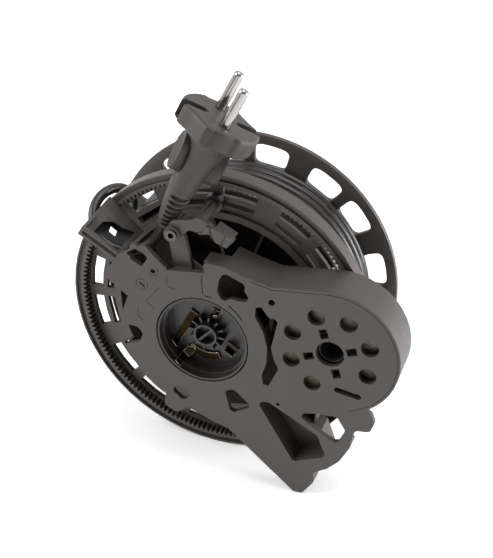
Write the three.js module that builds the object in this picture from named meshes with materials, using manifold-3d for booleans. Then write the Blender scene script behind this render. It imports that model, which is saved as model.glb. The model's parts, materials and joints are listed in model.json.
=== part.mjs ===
// Automatic cord reel of an appliance, in millimetres, +Z up.
// A windowed drum with an internal ring of teeth turns on an axle fixed to a moulded frame
// plate. A compound idler gear links it to the spring wheel of a mainspring in a round
// housing. A brake lever, a cord guide and the cord with its moulded plug sit at the front.
//
// Every piece is drawn in front view: x to the right, y up, z towards the viewer, with z = 0
// on the outside of the far flange. The whole reel is then turned so that y becomes up.

import * as THREE from 'three';
import { mergeVertices } from 'three/addons/utils/BufferGeometryUtils.js';
import Module from 'manifold-3d';

const wasm = await Module();
wasm.setup();

// ---------------------------------------------------------------- driving dimensions
const RAD = Math.PI / 180;
const LEAN = 8.7;                       // degrees the frame leans over on its leg
const PHASE = 3.7;                      // degrees from the vertical spokes to the drum's own

const DRUM_R = 77.6;                    // both flanges
const FAR_THICK = 3;
const NEAR_BACK = 44.5;                 // near flange, floor and toothed rim
const NEAR_FRONT = 47;
const LIP_FRONT = 51.85;
const LIP_R = 73.5;
const CORE_IN = 53.5;
const CORE_OUT = 54.9;
const SPOKES = 8;                       // wide and narrow spokes alternate
const NARROW = 2.45;                    // half of a narrow spoke, degrees
const WIDE = 5.3;                       // half of a wide spoke, degrees

const RING_MODULE = 0.8;                // drum ring and large idler gear
const RING_TEETH = 180;
const IDLER_LARGE_TEETH = 30;
const WHEEL_MODULE = 1.2;               // small idler gear and spring wheel
const IDLER_SMALL_TEETH = 12;
const WHEEL_TEETH = 44;
const ADDENDUM = 0.8;                   // in modules
const DEDENDUM = 1.18;
const BACKLASH = 0.28;
const PRESSURE = 20 * RAD;

const PLATE_BACK = 71.05;
const PLATE_FRONT = 73.65;
const HOUSING = new THREE.Vector2(63.6, 0);
const HOUSING_R = 33;
const HOUSING_WALL = 2;
const SKIRT_BACK = 52.5;

const AXLE_R = 7.9;
const BORE_R = 8.3;
const HUB_R = 11;
const WELL_R = 23.6;
const WELL_WALL = 1.8;

const CORD_R = 2.5;                     // round two-core cord
const WIND_R = 61.8;                    // middle of the outer layer
const WIND_TURNS = 7.25;
const WIND_PITCH = 5.02;
const WIND_STEPS = 20;
const WIND_SIDES = 6;

const TRACK_R = 56.8;                   // smooth track of the brake roller
const ROLLER_R = 4.6;
const SLIP_INNER = 12;                  // inside radii of the two contact rings
const SLIP_OUTER = 16;
const SLIP_WIDE = 2.2;

const PIN_R = 2.4;                      // plug pins
const PIN_LENGTH = 19;
const PIN_SPACING = 19;

// distances of the gear axes: drum to idler and idler to spring wheel
const idlerReach = (RING_TEETH - IDLER_LARGE_TEETH) * RING_MODULE / 2;
const wheelReach = (IDLER_SMALL_TEETH + WHEEL_TEETH) * WHEEL_MODULE / 2;
const IDLER = thirdCorner(HOUSING.length(), idlerReach, wheelReach);

// brake: pivot and roller axes
const BRAKE = new THREE.Vector2(-8.2, 55.4);
const ROLLER = new THREE.Vector2(5, Math.sqrt((TRACK_R + ROLLER_R + 0.4) ** 2 - 5 ** 2));

// the ring of teeth meets the idler on the line through both axes
const IDLER_ANGLE = Math.atan2(IDLER.y, IDLER.x) / RAD;
const RING_ANGLE = IDLER_ANGLE + LEAN;
const WHEEL_ANGLE = Math.atan2(IDLER.y - HOUSING.y, IDLER.x - HOUSING.x) / RAD;

const COVER_SCREWS = [20, 140, 200].map((angle) => new THREE.Vector2(
  HOUSING.x + 28.4 * Math.cos(angle * RAD),
  HOUSING.y + 28.4 * Math.sin(angle * RAD),
));

// where the idler's axis lies, below the line from the drum to the spring wheel
function thirdCorner(base, fromDrum, fromWheel) {
  const x = (base ** 2 + fromDrum ** 2 - fromWheel ** 2) / (2 * base);
  return new THREE.Vector2(x, -Math.sqrt(fromDrum ** 2 - x ** 2));
}

// ---------------------------------------------------------------- materials
const paint = (color, roughness, metalness = 0) => new THREE.MeshStandardMaterial({
  color, roughness, metalness, flatShading: true,
});
const PLASTIC = paint(0x4a4644, 0.55);
const DRUM_PLASTIC = paint(0x3c3937, 0.5);
const CARRIER_PLASTIC = paint(0x2f2d2c, 0.5);
const GEAR_PLASTIC = paint(0xb9b4a8, 0.5);
const CORD_SKIN = paint(0x262524, 0.35);
const PLUG_SKIN = paint(0x55504e, 0.6);
const STEEL = paint(0xb8b8b8, 0.3, 1);
const SPRING_STEEL = paint(0x7d7468, 0.4, 1);
const BRASS = paint(0xc9a354, 0.3, 1);
const CHROME = paint(0xe0e0e0, 0.12, 1);

// ---------------------------------------------------------------- solids
// a closed geometry as a solid, with its faces turned outward
function solid(geometry) {
  const bare = geometry.clone();
  bare.deleteAttribute('normal');
  bare.deleteAttribute('uv');
  const merged = mergeVertices(bare, 1e-4);
  const places = merged.attributes.position;
  const corners = Uint32Array.from(merged.index.array);
  if (volume(places, corners) < 0) {
    corners.reverse();
  }
  return new wasm.Manifold(new wasm.Mesh({
    numProp: 3,
    vertProperties: new Float32Array(places.array),
    triVerts: corners,
  }));
}

function volume(places, corners) {
  const a = new THREE.Vector3();
  const b = new THREE.Vector3();
  const c = new THREE.Vector3();
  let sum = 0;
  for (let i = 0; i < corners.length; i += 3) {
    a.fromBufferAttribute(places, corners[i]);
    b.fromBufferAttribute(places, corners[i + 1]);
    c.fromBufferAttribute(places, corners[i + 2]);
    sum += a.dot(b.cross(c));
  }
  return sum;
}

const joined = (first, ...others) => others.reduce((whole, body) => whole.add(body), first);
const cut = (first, ...others) => others.reduce((whole, body) => whole.subtract(body), first);

function geometryOf(body) {
  const { vertProperties, triVerts } = body.getMesh();
  const geometry = new THREE.BufferGeometry();
  geometry.setAttribute('position', new THREE.BufferAttribute(vertProperties, 3));
  geometry.setIndex(new THREE.BufferAttribute(triVerts, 1));
  geometry.computeVertexNormals();
  return geometry;
}

function piece(name, body, material, parent) {
  const mesh = new THREE.Mesh(geometryOf(body), material);
  mesh.name = name;
  parent.add(mesh);
  return mesh;
}

// ---------------------------------------------------------------- flat outlines
const at = (x, y) => new THREE.Vector2(x, y);
const polar = (r, degrees, centre = at(0, 0)) => at(
  centre.x + r * Math.cos(degrees * RAD),
  centre.y + r * Math.sin(degrees * RAD),
);
const points = (...pairs) => pairs.map(([x, y]) => at(x, y));

// points along an arc, both ends included
function arc(r, from, to, steps, centre) {
  return Array.from({ length: steps + 1 }, (_, i) => (
    polar(r, from + (to - from) * i / steps, centre)
  ));
}

const circle = (r, steps, centre) => arc(r, 0, 360, steps, centre).slice(0, -1);

// a band between two radii
function band(r0, r1, from, to, steps, centre) {
  return [...arc(r1, from, to, steps, centre), ...arc(r0, to, from, steps, centre)];
}

// the outline with every corner sharper than 25 degrees rounded off
function rounded(outline, radius, steps = 1) {
  const count = outline.length;
  return outline.flatMap((corner, i) => {
    const back = outline[(i + count - 1) % count].clone().sub(corner);
    const ahead = outline[(i + 1) % count].clone().sub(corner);
    const turn = Math.PI - Math.abs(back.angleTo(ahead));
    if (turn < 25 * RAD || radius === 0) {
      return [corner];
    }
    const reach = Math.min(radius * Math.tan(turn / 2), back.length() / 2.1, ahead.length() / 2.1);
    const start = back.setLength(reach).add(corner);
    const end = ahead.setLength(reach).add(corner);
    const bend = new THREE.QuadraticBezierCurve(start, corner, end);
    return bend.getPoints(steps);
  });
}

// a strip of the given thickness on the left of a run of points
function strip(run, thickness) {
  const side = run.map((place, i) => {
    const before = run[Math.max(i - 1, 0)];
    const after = run[Math.min(i + 1, run.length - 1)];
    const along = after.clone().sub(before).normalize();
    return at(place.x - along.y * thickness, place.y + along.x * thickness);
  });
  return [...run, ...side.reverse()];
}

// ---------------------------------------------------------------- bodies from outlines
function extrude(outline, z0, z1, holes = []) {
  const shape = new THREE.Shape(outline);
  holes.forEach((hole) => shape.holes.push(new THREE.Path(hole)));
  const geometry = new THREE.ExtrudeGeometry(shape, { depth: z1 - z0, bevelEnabled: false });
  geometry.translate(0, 0, z0);
  return solid(geometry);
}

const disc = (r, z0, z1, steps = 32, centre) => extrude(circle(r, steps, centre), z0, z1);
const tube = (r0, r1, z0, z1, steps = 32, centre) => (
  extrude(circle(r1, steps, centre), z0, z1, [circle(r0, steps, centre)])
);
const block = (x0, x1, y0, y1, z0, z1) => (
  extrude(points([x0, y0], [x1, y0], [x1, y1], [x0, y1]), z0, z1)
);

// a turned body about the z axis, from a closed run of [radius, z] pairs
function turned(profile, steps = 32) {
  const run = profile.map(([r, z]) => at(r, z));
  if (profile[0][0] > 0) {
    run.push(run[0].clone());
  }
  const geometry = new THREE.LatheGeometry(run, steps);
  geometry.rotateX(Math.PI / 2);
  return solid(geometry);
}

const moved = (body, x, y, z = 0) => body.translate([x, y, z]);

// a straight rod between two places in space
function rod(from, to, r, steps = 16) {
  const along = to.clone().sub(from);
  const geometry = new THREE.CylinderGeometry(r, r, along.length(), steps);
  const turn = new THREE.Quaternion().setFromUnitVectors(
    new THREE.Vector3(0, 1, 0),
    along.clone().normalize(),
  );
  geometry.applyQuaternion(turn);
  const middle = from.clone().add(to).multiplyScalar(0.5);
  geometry.translate(middle.x, middle.y, middle.z);
  return solid(geometry);
}

// a body of rings of points, each ring joined to the next and both ends closed
function lofted(rings) {
  const sides = rings[0].length;
  const places = rings.flat().flatMap((p) => [p.x, p.y, p.z]);
  const faces = [];
  for (let i = 0; i < rings.length - 1; i += 1) {
    for (let k = 0; k < sides; k += 1) {
      const a = i * sides + k;
      const b = i * sides + (k + 1) % sides;
      faces.push(a, b, b + sides, a, b + sides, a + sides);
    }
  }
  const last = (rings.length - 1) * sides;
  for (let k = 1; k < sides - 1; k += 1) {
    faces.push(0, k + 1, k);
    faces.push(last, last + k, last + k + 1);
  }
  const geometry = new THREE.BufferGeometry();
  geometry.setAttribute('position', new THREE.Float32BufferAttribute(places, 3));
  geometry.setIndex(faces);
  return solid(geometry);
}

// ---------------------------------------------------------------- gears
const involute = (angle) => Math.tan(angle) - angle;

// half the angle that a tooth, or the space of an internal ring, covers at radius r
function halfAngle(teeth, pitch, r, play) {
  const here = Math.acos(Math.min(pitch * Math.cos(PRESSURE) / r, 1));
  return Math.PI / (2 * teeth) - play / (2 * pitch) + involute(PRESSURE) - involute(here);
}

// a toothed outline between two radii, with the middle of one tooth at the given angle
function toothed(teeth, pitch, angle, inner, outer, play) {
  const root = halfAngle(teeth, pitch, inner, play);
  const tip = halfAngle(teeth, pitch, outer, play);
  const corners = [[inner, -root], [outer, -tip], [outer, tip], [inner, root]];
  return Array.from({ length: teeth }, (_, i) => i * 2 * Math.PI / teeth).flatMap((middle) => (
    corners.map(([r, turn]) => polar(r, angle + (middle + turn) / RAD))
  ));
}

function wheelOutline(teeth, module, angle) {
  const pitch = teeth * module / 2;
  const root = pitch - DEDENDUM * module;
  return toothed(teeth, pitch, angle, root, pitch + ADDENDUM * module, BACKLASH / 2);
}

// the space inside the ring: the ring's own teeth stand between the teeth of this outline
function ringOutline(angle) {
  const pitch = RING_TEETH * RING_MODULE / 2;
  const tip = pitch - ADDENDUM * RING_MODULE;
  return toothed(RING_TEETH, pitch, angle, tip, pitch + DEDENDUM * RING_MODULE, -BACKLASH / 2);
}

// ---------------------------------------------------------------- drum
// the windows of one ring, in pairs between wide spokes
function windows(r0, r1, z0, z1, steps, corner = 0) {
  const cutters = [];
  const pitch = 360 / SPOKES;
  for (let k = 0; k < SPOKES; k += 1) {
    const spoke = PHASE + k * pitch;
    const spans = [
      [spoke + NARROW, spoke + pitch / 2 - WIDE],
      [spoke + pitch / 2 + WIDE, spoke + pitch - NARROW],
    ];
    spans.forEach(([from, to]) => {
      const outline = band(r0, r1, from, to, steps);
      cutters.push(extrude(rounded(outline, corner, 1), z0, z1));
    });
  }
  return cutters;
}

function nearFlange() {
  const teeth = extrude(circle(DRUM_R, 56), NEAR_BACK, LIP_FRONT, [ringOutline(RING_ANGLE)]);
  const floor = tube(CORE_IN, LIP_R, NEAR_BACK, NEAR_FRONT, 40);
  const track = tube(CORE_IN, TRACK_R, NEAR_FRONT - 0.5, NEAR_FRONT + 2.1, 40);
  return cut(
    joined(teeth, floor, track),
    ...windows(64.4, 70, NEAR_BACK - 1, NEAR_FRONT + 1, 2),
    ...windows(58.4, 62, NEAR_BACK - 1, NEAR_FRONT + 1, 1),
  );
}

function farFlange() {
  const disk = turned([[HUB_R + 0.4, 1.5], [CORE_IN, 1.5], [CORE_IN, 0], [DRUM_R, 0],
    [DRUM_R, FAR_THICK], [HUB_R + 0.4, FAR_THICK]], 56);
  return cut(disk, ...windows(61.5, 72.3, -1, 4, 2, 3));
}

// the open cup that carries the winding, with its web, ribs and hub tube
function drumCore() {
  const back = FAR_THICK + 0.3;
  const cup = turned([[BORE_R, back], [CORE_OUT, back], [CORE_OUT, NEAR_BACK - 0.3],
    [CORE_IN, NEAR_BACK - 0.3], [CORE_IN, back + 2], [BORE_R, back + 2]], 40);
  const hub = tube(BORE_R, HUB_R, back, 51.7, 20);
  const gusset = extrude(
    points([HUB_R - 1, 0], [CORE_IN + 0.8, 0], [CORE_IN + 0.8, 9], [HUB_R - 1, 20]),
    -0.8,
    0.8,
  ).rotate([90, 0, 0]).translate([0, 0, FAR_THICK + 2]);
  const ribs = Array.from({ length: SPOKES }, (_, k) => (
    gusset.rotate([0, 0, PHASE + (k + 0.5) * 360 / SPOKES])
  ));
  return joined(cup, hub, ...ribs);
}

const innerLayers = () => tube(CORE_OUT + 0.3, WIND_R - CORD_R - 0.9, FAR_THICK + 0.3,
  NEAR_BACK - 0.3, 40);

// the middle of the outer layer: a helix with a short straight run at each end
function windingLine() {
  const count = Math.round(WIND_TURNS * WIND_STEPS);
  const middle = (FAR_THICK + NEAR_BACK) / 2;
  const line = Array.from({ length: count + 1 }, (_, i) => {
    const turn = i / WIND_STEPS;
    const flat = polar(WIND_R, 30 - 360 * turn);
    return new THREE.Vector3(flat.x, flat.y, middle - (turn - WIND_TURNS / 2) * WIND_PITCH);
  });
  const first = line[0].clone().sub(line[1]).setLength(2 * CORD_R).add(line[0]);
  const last = line[count].clone().sub(line[count - 1]).setLength(2 * CORD_R).add(line[count]);
  return [first, ...line, last];
}

// rings of points square to a line on the drum, the first point of each facing outward
function windingRings(line) {
  return line.map((place, i) => {
    const before = line[Math.max(i - 1, 0)];
    const after = line[Math.min(i + 1, line.length - 1)];
    const along = after.clone().sub(before).normalize();
    const out = new THREE.Vector3(place.x, place.y, 0).normalize();
    out.addScaledVector(along, -out.dot(along)).normalize();
    const side = new THREE.Vector3().crossVectors(along, out);
    return Array.from({ length: WIND_SIDES }, (_, k) => {
      const turn = k * 2 * Math.PI / WIND_SIDES;
      return place.clone()
        .addScaledVector(out, CORD_R * Math.cos(turn))
        .addScaledVector(side, CORD_R * Math.sin(turn));
    });
  });
}

// least distance between points of the winding that lie more than half a turn apart
function leastGap(rings) {
  const apart = WIND_STEPS / 2;
  let least = Infinity;
  rings.forEach((ring, i) => {
    rings.slice(i + apart, i + 4 * apart).flat().forEach((there) => {
      ring.forEach((here) => {
        least = Math.min(least, here.distanceTo(there));
      });
    });
  });
  return least;
}

function cordWinding() {
  const rings = windingRings(windingLine());
  console.log(`winding: least gap to itself ${leastGap(rings).toFixed(2)} mm`);
  return lofted(rings);
}

const slipRingHolder = () => turned([[BORE_R, 52], [19.5, 52], [19.5, 53.4], [11.6, 53.4],
  [11.6, 54.8], [BORE_R, 54.8]], 20);

// the wedge in the core wall that holds the inner end of the cord
const cordClamp = () => extrude(
  rounded(points([-4, CORE_IN - 7], [4, CORE_IN - 7], [4, CORE_IN - 0.9], [-4, CORE_IN - 0.9]), 1),
  26,
  38,
).rotate([0, 0, PHASE]);

// ---------------------------------------------------------------- frame
const HUB_PLATE = circle(41.2, 48);

const ARM = points(
  [-10, 20], [-13, 38.1], [-9.9, 38.7], [-7.6, 36.5], [5.5, 37.7], [6.2, 43],
  [16.4, 41.3], [26.2, 37.1], [37.5, 33], [63.6, 33], [63.6, 0], [0, 0],
);

const LEG = points(
  [0, 0], [-14, -36], [-12.3, -40.7], [-0.6, -46.9], [7.7, -50.5], [38.4, -84.3], [43, -84.8],
  [49.7, -76.7], [49.8, -70.7], [57.2, -67.2], [63.7, -61.6], [69.7, -52.6], [72.6, -41.8],
  [76.9, -41.8], [80.1, -41.6], [82.7, -36.3], [81.5, -31.6], [78.2, -28.7], [63.6, 0],
);

const TAB = points([-10, -30], [-22, -30], [-24.5, -36.4], [-25, -40.7], [-19.3, -44.8],
  [-12.3, -40.7]);

// the corner at the upper left that carries the guide, the hook and the bar
const SHOULDER = points(
  [-10, 20], [-13, 38.1], [-18.2, 44], [-23.1, 50.5], [-24.6, 47.5], [-28.8, 51.5],
  [-30.6, 46.5], [-36.4, 43.5], [-40.4, 39], [-47, 32.1], [-35.9, 21.3],
);

const CUTOUTS = {
  top: points([16, 38.3], [26.2, 32.6], [24.8, 29.9], [27.5, 24.2], [22.6, 23.7], [17.9, 24.7],
    [13.5, 22.8], [11.3, 27.8], [12.8, 34]),
  slot: [
    ...points([30.4, 25.1], [35.8, 16.1], [40.3, 16.6]),
    ...arc(28.6, 168, 204, 3, HOUSING).slice(1),
    at(29.4, -25.6),
    ...arc(33, -30, 30, 4),
  ],
  arch: points([8.5, -27.6], [13.5, -26.4], [21.7, -35.6], [10.2, -41]),
  square: points([-20, -30.9], [-15.9, -27.2], [-9.3, -31.8], [-14.3, -37.1]),
  bay: points([-42, 5], [-38.4, 5], [-33, 4], [-30.7, 0.5], [-33, -4.5], [-40.3, -6.5], [-42, -6.5]),
  window: points([-32.8, 43.2], [-25.6, 37.7], [-21.3, 43.2], [-25.4, 46.4]),
  foot: points([24.8, -31.8], [30.5, -31.4], [53.7, -47.5], [57.2, -60], [48.9, -62.7], [40, -65.6]),
  knee: points([44.2, -36], [54, -34.6], [64.6, -35.2], [68.2, -42.8], [63.4, -51.3], [56, -46.4]),
};

// the face of the spring housing: seven round holes, one slot, a middle hole and snap windows
function housingHoles(z0, z1) {
  const ring = Array.from({ length: 8 }, (_, k) => 14.8 + 45 * k);
  const round = ring.filter((angle) => angle !== 284.8)
    .map((angle) => disc(4.3, z0, z1, 14, polar(19.8, angle, HOUSING)));
  const slot = extrude(rounded(points([64.2, -17.6], [77.2, -21.2], [77.2, -24.2], [64.2, -20.6]), 1),
    z0, z1);
  const snaps = [12, 102, 192, 282].map((angle) => (
    block(8.2, 13.2, -2, 2, z0, z1).rotate([0, 0, angle]).translate([HOUSING.x, HOUSING.y, 0])
  ));
  return [...round, slot, ...snaps, disc(6.8, z0, z1, 20, HOUSING)];
}

// edge ribs, side walls and bosses behind the plate
function frameWalls() {
  const edge = (run, depth, thickness = 1.6) => (
    extrude(strip(run, thickness), PLATE_BACK - depth, PLATE_BACK + 1)
  );
  return [
    tube(HOUSING_R - HOUSING_WALL, HOUSING_R, SKIRT_BACK, PLATE_BACK + 1, 40, HOUSING),
    edge(points([63.6, 33], [37.5, 33], [26.2, 37.1], [16.4, 41.3]), 18, 1.8),
    edge(arc(41.2, 150, 236, 11), 4),
    edge(points([16.4, 41.3], [6.2, 43]), 8),
    edge(points([-0.6, -46.9], [7.7, -50.5], [38.4, -84.3], [43, -84.8], [49.7, -76.7],
      [49.8, -70.7], [57.2, -67.2], [63.7, -61.6], [69.7, -52.6]), 7),
    tube(WELL_R, WELL_R + WELL_WALL, 58, PLATE_BACK + 1, 30),
    disc(3.4, 59.4, PLATE_BACK + 1, 12, IDLER),
    disc(3, 66, PLATE_BACK + 1, 12, at(37.7, 24.7)),
    ...COVER_SCREWS.map((place) => disc(2.7, 58.4, PLATE_BACK + 1, 10, place)),
  ];
}

// the floor of the hub well, open for the axle and the brushes
function wellFloor() {
  const brushes = [90, 270].map((angle) => (
    block(11, 19.4, -3.4, 3.4, 57, 61).rotate([0, 0, angle])
  ));
  return cut(tube(BORE_R, WELL_R + 1, 58, 59.8, 30), ...brushes);
}

function framePlate() {
  const slab = (outline, corner = 1.5) => (
    extrude(rounded(outline, corner), PLATE_BACK, PLATE_FRONT)
  );
  const plate = joined(
    slab(HUB_PLATE), slab(ARM), slab(LEG), slab(TAB), slab(SHOULDER),
    disc(HOUSING_R, PLATE_BACK, PLATE_FRONT, 40, HOUSING),
  );
  const openings = Object.values(CUTOUTS).map((outline) => (
    extrude(rounded(outline, 1.5), PLATE_BACK - 6, PLATE_FRONT + 1)
  ));
  const idlerGap = disc(9, SKIRT_BACK - 1, 59, 16, IDLER);
  return cut(
    joined(cut(joined(plate, ...frameWalls()), ...openings), brakeBridge(), cordGuide()),
    block(-12.9, 6.1, 37.2, 46, PLATE_BACK - 0.4, PLATE_FRONT + 1),
    disc(WELL_R, 59.9, PLATE_FRONT + 1, 30),
    disc(1.8, 50, 69.5, 10, IDLER),
    disc(1.7, 60, PLATE_FRONT + 1, 10, at(37.7, 24.7)),
    disc(1.95, 60, PLATE_FRONT + 1, 12, BRAKE),
    idlerGap,
    disc(13.8, SKIRT_BACK - 1, 54.5, 20, IDLER),
    ...COVER_SCREWS.map((place) => disc(1.1, 50, 64, 8, place)),
    ...housingHoles(PLATE_BACK - 1, PLATE_FRONT + 1),
  ).add(wellFloor());
}

// the arm that carries the brake's pivot, on a foot behind the plate
function brakeBridge() {
  const arm = rounded(points([-11.4, 33], [-12, 54], [-8.2, 59.2], [-4.6, 57.4], [-3.6, 52],
    [-1.5, 33]), 2);
  return joined(extrude(arm, 66, 68.4), block(-11, -2, 33, 36.6, 66, PLATE_BACK + 1));
}

// ---------------------------------------------------------------- contacts in the hub well
function contactCarrier() {
  const cup = turned([[0, 61.8], [23.1, 61.8], [23.1, 70.4], [20.8, 70.4], [20.8, 63.5], [4.9, 63.5],
    [4.9, 69], [0, 69]], 20);
  const ribs = Array.from({ length: 12 }, (_, k) => (
    block(4.5, 9.2, -0.5, 0.5, 63.3, 67.5).rotate([0, 0, 15 + 30 * k])
  ));
  const recess = (side) => extrude(
    rounded(arc(3.9, side - 68, side + 68, 6), 0.6, 1),
    65.5,
    70,
  );
  return cut(joined(cup, ...ribs), recess(-45), recess(135));
}

// a contact strip with its rivet, lying on the carrier's floor
const riveted = (outline, rivet) => joined(
  extrude(outline, 63.9, 64.8),
  disc(1.4, 64.5, 65.7, 12, rivet),
);

const longStrip = () => riveted(
  strip(points([-6.4, 11.9], [-12.6, 4], [-17.6, -6.8]), 3.2),
  at(-13.3, -0.8),
);
const roundStrip = () => riveted(band(12.6, 16.4, 222, 286, 8), polar(14.5, 228));

// a blade that stands on its foot
const terminal = () => joined(
  block(10.6, 17.4, -1.6, 1.6, 63.9, 64.8),
  block(11.6, 16.4, -0.4, 0.4, 64.4, 70.2),
).rotate([0, 0, -38]);

const springContact = () => joined(
  block(4.2, 8.4, 10.4, 18.6, 63.9, 64.6),
  block(5.4, 7.2, 10.6, 11.4, 64.2, 68.6),
);

const brush = (r, angle) => block(r, r + SLIP_WIDE, -2, 2, 55.1, 61.4).rotate([0, 0, angle]);
const slipRing = (r) => tube(r, r + SLIP_WIDE, 53.7, 54.8, 16);

// ---------------------------------------------------------------- axle and its fastening
const drumAxle = () => turned([[2, 3.4], [AXLE_R, 3.4], [AXLE_R, 60.2], [10.8, 60.2], [10.8, 61.4],
  [2, 61.4]], 16);
const retainingWasher = () => tube(2, 10.4, 1.9, 3.1, 16);
const axleScrew = () => turned([[0, 0.3], [4, 0.3], [4, 1.6], [1.6, 1.6], [1.6, 18], [0, 18]], 12);

// ---------------------------------------------------------------- spring drive
// the large gear meshes with the drum's ring, the small one with the spring wheel
function idlerGear() {
  const toWheel = Math.atan2(HOUSING.y - IDLER.y, HOUSING.x - IDLER.x) / RAD;
  const large = extrude(wheelOutline(IDLER_LARGE_TEETH, RING_MODULE, IDLER_ANGLE), 49.5, 51.7);
  const small = extrude(wheelOutline(IDLER_SMALL_TEETH, WHEEL_MODULE, toWheel), 54.7, 57.7);
  const neck = disc(5, 51.5, 55, 14);
  return cut(joined(large, small, neck), disc(1.9, 47, 58, 10))
    .translate([IDLER.x, IDLER.y, 0]);
}

// its arbor stands inside the mainspring, and holds the spring's inner end
function springWheel() {
  const tooth = WHEEL_ANGLE + 180 / WHEEL_TEETH;
  const gear = extrude(wheelOutline(WHEEL_TEETH, WHEEL_MODULE, tooth), 54.7, 57.7);
  const arbor = disc(6.4, 57.4, 70.4, 16);
  return cut(joined(gear, arbor), disc(2.9, 54, 71, 12))
    .translate([HOUSING.x, HOUSING.y, 0]);
}

// a flat strip wound on edge: a short lead off the arbor, then even turns out to the wall
function mainspring() {
  const lead = 8;
  const perTurn = 10;
  const turns = 5;
  const run = Array.from({ length: lead + turns * perTurn + 1 }, (_, i) => {
    const beyond = i - lead;
    const r = beyond < 0 ? 7.7 + 5.3 * (i / lead) : 13 + 12.2 * beyond / (turns * perTurn);
    return polar(r, beyond * 360 / perTurn, HOUSING);
  });
  return extrude(strip(run, 0.8), 58.6, 70.4);
}

function springBackCover() {
  const lobe = disc(13.4, SKIRT_BACK + 0.2, 54.1, 16, IDLER);
  const plate = disc(30.5, SKIRT_BACK + 0.2, 54.1, 26, HOUSING);
  const heads = COVER_SCREWS.flatMap((place) => [
    disc(2.3, SKIRT_BACK, 53.6, 10, place),
    disc(1.1, SKIRT_BACK, 55, 8, place),
  ]);
  return cut(
    joined(plate, lobe),
    disc(8.6, SKIRT_BACK, 55, 12, IDLER),
    disc(2.9, SKIRT_BACK, 55, 12, HOUSING),
    ...heads,
  );
}

// a turned fastener on an axis: its head, then its shank
const fastener = (head, shank, z0, z1, z2, place, steps) => turned([[0, z0], [head, z0],
  [head, z1], [shank, z1], [shank, z2], [0, z2]], steps).translate([place.x, place.y, 0]);

const coverScrew = (place) => fastener(1.9, 0.8, SKIRT_BACK + 0.3, 53.3, 62, place, 10);
const arborPin = () => disc(2.5, SKIRT_BACK + 0.5, 70.2, 16, HOUSING);
const idlerPin = () => fastener(2.7, 1.5, 48.2, 49.2, 69.2, IDLER, 12);

// ---------------------------------------------------------------- cord guide
// The guide wall stands on edge beside the cord. Its corners lie on its front edge and on its
// back edge, outer end first. Towards the front the wall curls away behind a thin rim.
const GUIDE = {
  front: points([-52.6, 55.8], [-36.4, 43.5]),
  back: points([-46.9, 61.9], [-32.9, 45.4]),
  thick: 1.4,
  curl: 3.2,
};

// the guide at depth z: its two ends, and the directions along it and away from the cord
function guideAt(z) {
  const t = (z - SKIRT_BACK) / (PLATE_FRONT - SKIRT_BACK);
  const ends = GUIDE.back.map((end, k) => end.clone().lerp(GUIDE.front[k], t));
  const along = ends[1].clone().sub(ends[0]).normalize();
  const curl = GUIDE.curl * THREE.MathUtils.smoothstep(t, 0.55, 1);
  return { ends, along, away: at(along.y, -along.x), curl };
}

// a slab of the guide between two depths, its outline at each depth given by a function
function guideSlab(z0, z1, steps, outline) {
  return lofted(Array.from({ length: steps + 1 }, (_, i) => {
    const z = z0 + (z1 - z0) * i / steps;
    return outline(guideAt(z)).map((p) => new THREE.Vector3(p.x, p.y, z));
  }));
}

function cordGuide() {
  const step = (place, along, x, away, y) => (
    place.clone().addScaledVector(along, x).addScaledVector(away, y)
  );
  const quad = (guide, x0, end0, x1, end1, y0, y1) => [
    step(guide.ends[end0], guide.along, x0, guide.away, y0),
    step(guide.ends[end1], guide.along, x1, guide.away, y0),
    step(guide.ends[end1], guide.along, x1, guide.away, y1),
    step(guide.ends[end0], guide.along, x0, guide.away, y1),
  ];
  const low = SKIRT_BACK;
  const high = PLATE_FRONT;
  const wall = guideSlab(low, high, 5, (g) => quad(g, 0, 0, 0, 1, g.curl, g.curl + GUIDE.thick));
  const inner = guideSlab(low, high, 3, (g) => quad(g, -0.4, 1, 0.6, 1, 0, g.curl + GUIDE.thick));
  const root = guideSlab(high - 2.4, high, 1, (g) => quad(g, 0, 1, 3, 1, 0, g.curl + GUIDE.thick));
  const outer = guideSlab(low, high, 3, (g) => quad(g, -1.2, 0, 0.4, 0, 0, g.curl + GUIDE.thick));
  const rim = guideSlab(high - 1.6, high, 1, (g) => quad(g, 0, 0, 0, 1, 0, 1.1));
  const hole = block(8.2, 12.4, -3, 9, 60, 64.5)
    .rotate([0, 0, -40]).translate([-48.6, 59.4, 0]);
  return cut(joined(wall, inner, root, outer, rim), hole);
}

// ---------------------------------------------------------------- brake
// The lever tips on its pin. A finger tab spreads out at its end, and a post reaches back
// beside the near flange to carry the roller.
function brakeLever() {
  const z0 = 68.8;
  const z1 = 71;
  const arm = extrude(
    rounded(points([-10, 59], [-8, 61.9], [7.2, 63.4], [12.7, 59.9], [11.4, 56.4], [5.5, 55.8],
      [0, 58], [-5.2, 52.4]), 1.5, 1),
    z0,
    z1,
  );
  const tab = extrude(points([9, 60.6], [12.7, 59.9], [22.2, 54.4], [17.9, 50.2], [12, 53.3],
    [10.4, 57]), z0 + 0.6, z1 + 1);
  const web = extrude(points([11.4, 58], [12.4, 58.6], [20.4, 53.2], [19.6, 52.2]), 62, z1);
  const hub = disc(4, z0, 72.6, 14, BRAKE);
  const post = disc(2.6, 52.4, z1, 12, ROLLER);
  const pin = disc(1.1, 47.8, 53, 12, ROLLER);
  return cut(joined(arm, tab, web, hub, post, pin), disc(1.95, 60, 80, 12, BRAKE));
}

const brakeRoller = () => tube(1.5, ROLLER_R, 47.4, 51.9, 16, ROLLER);
const brakePin = () => joined(disc(1.6, 60.6, 73.2, 14, BRAKE), disc(2.8, 72.9, 73.65, 14, BRAKE));

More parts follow.
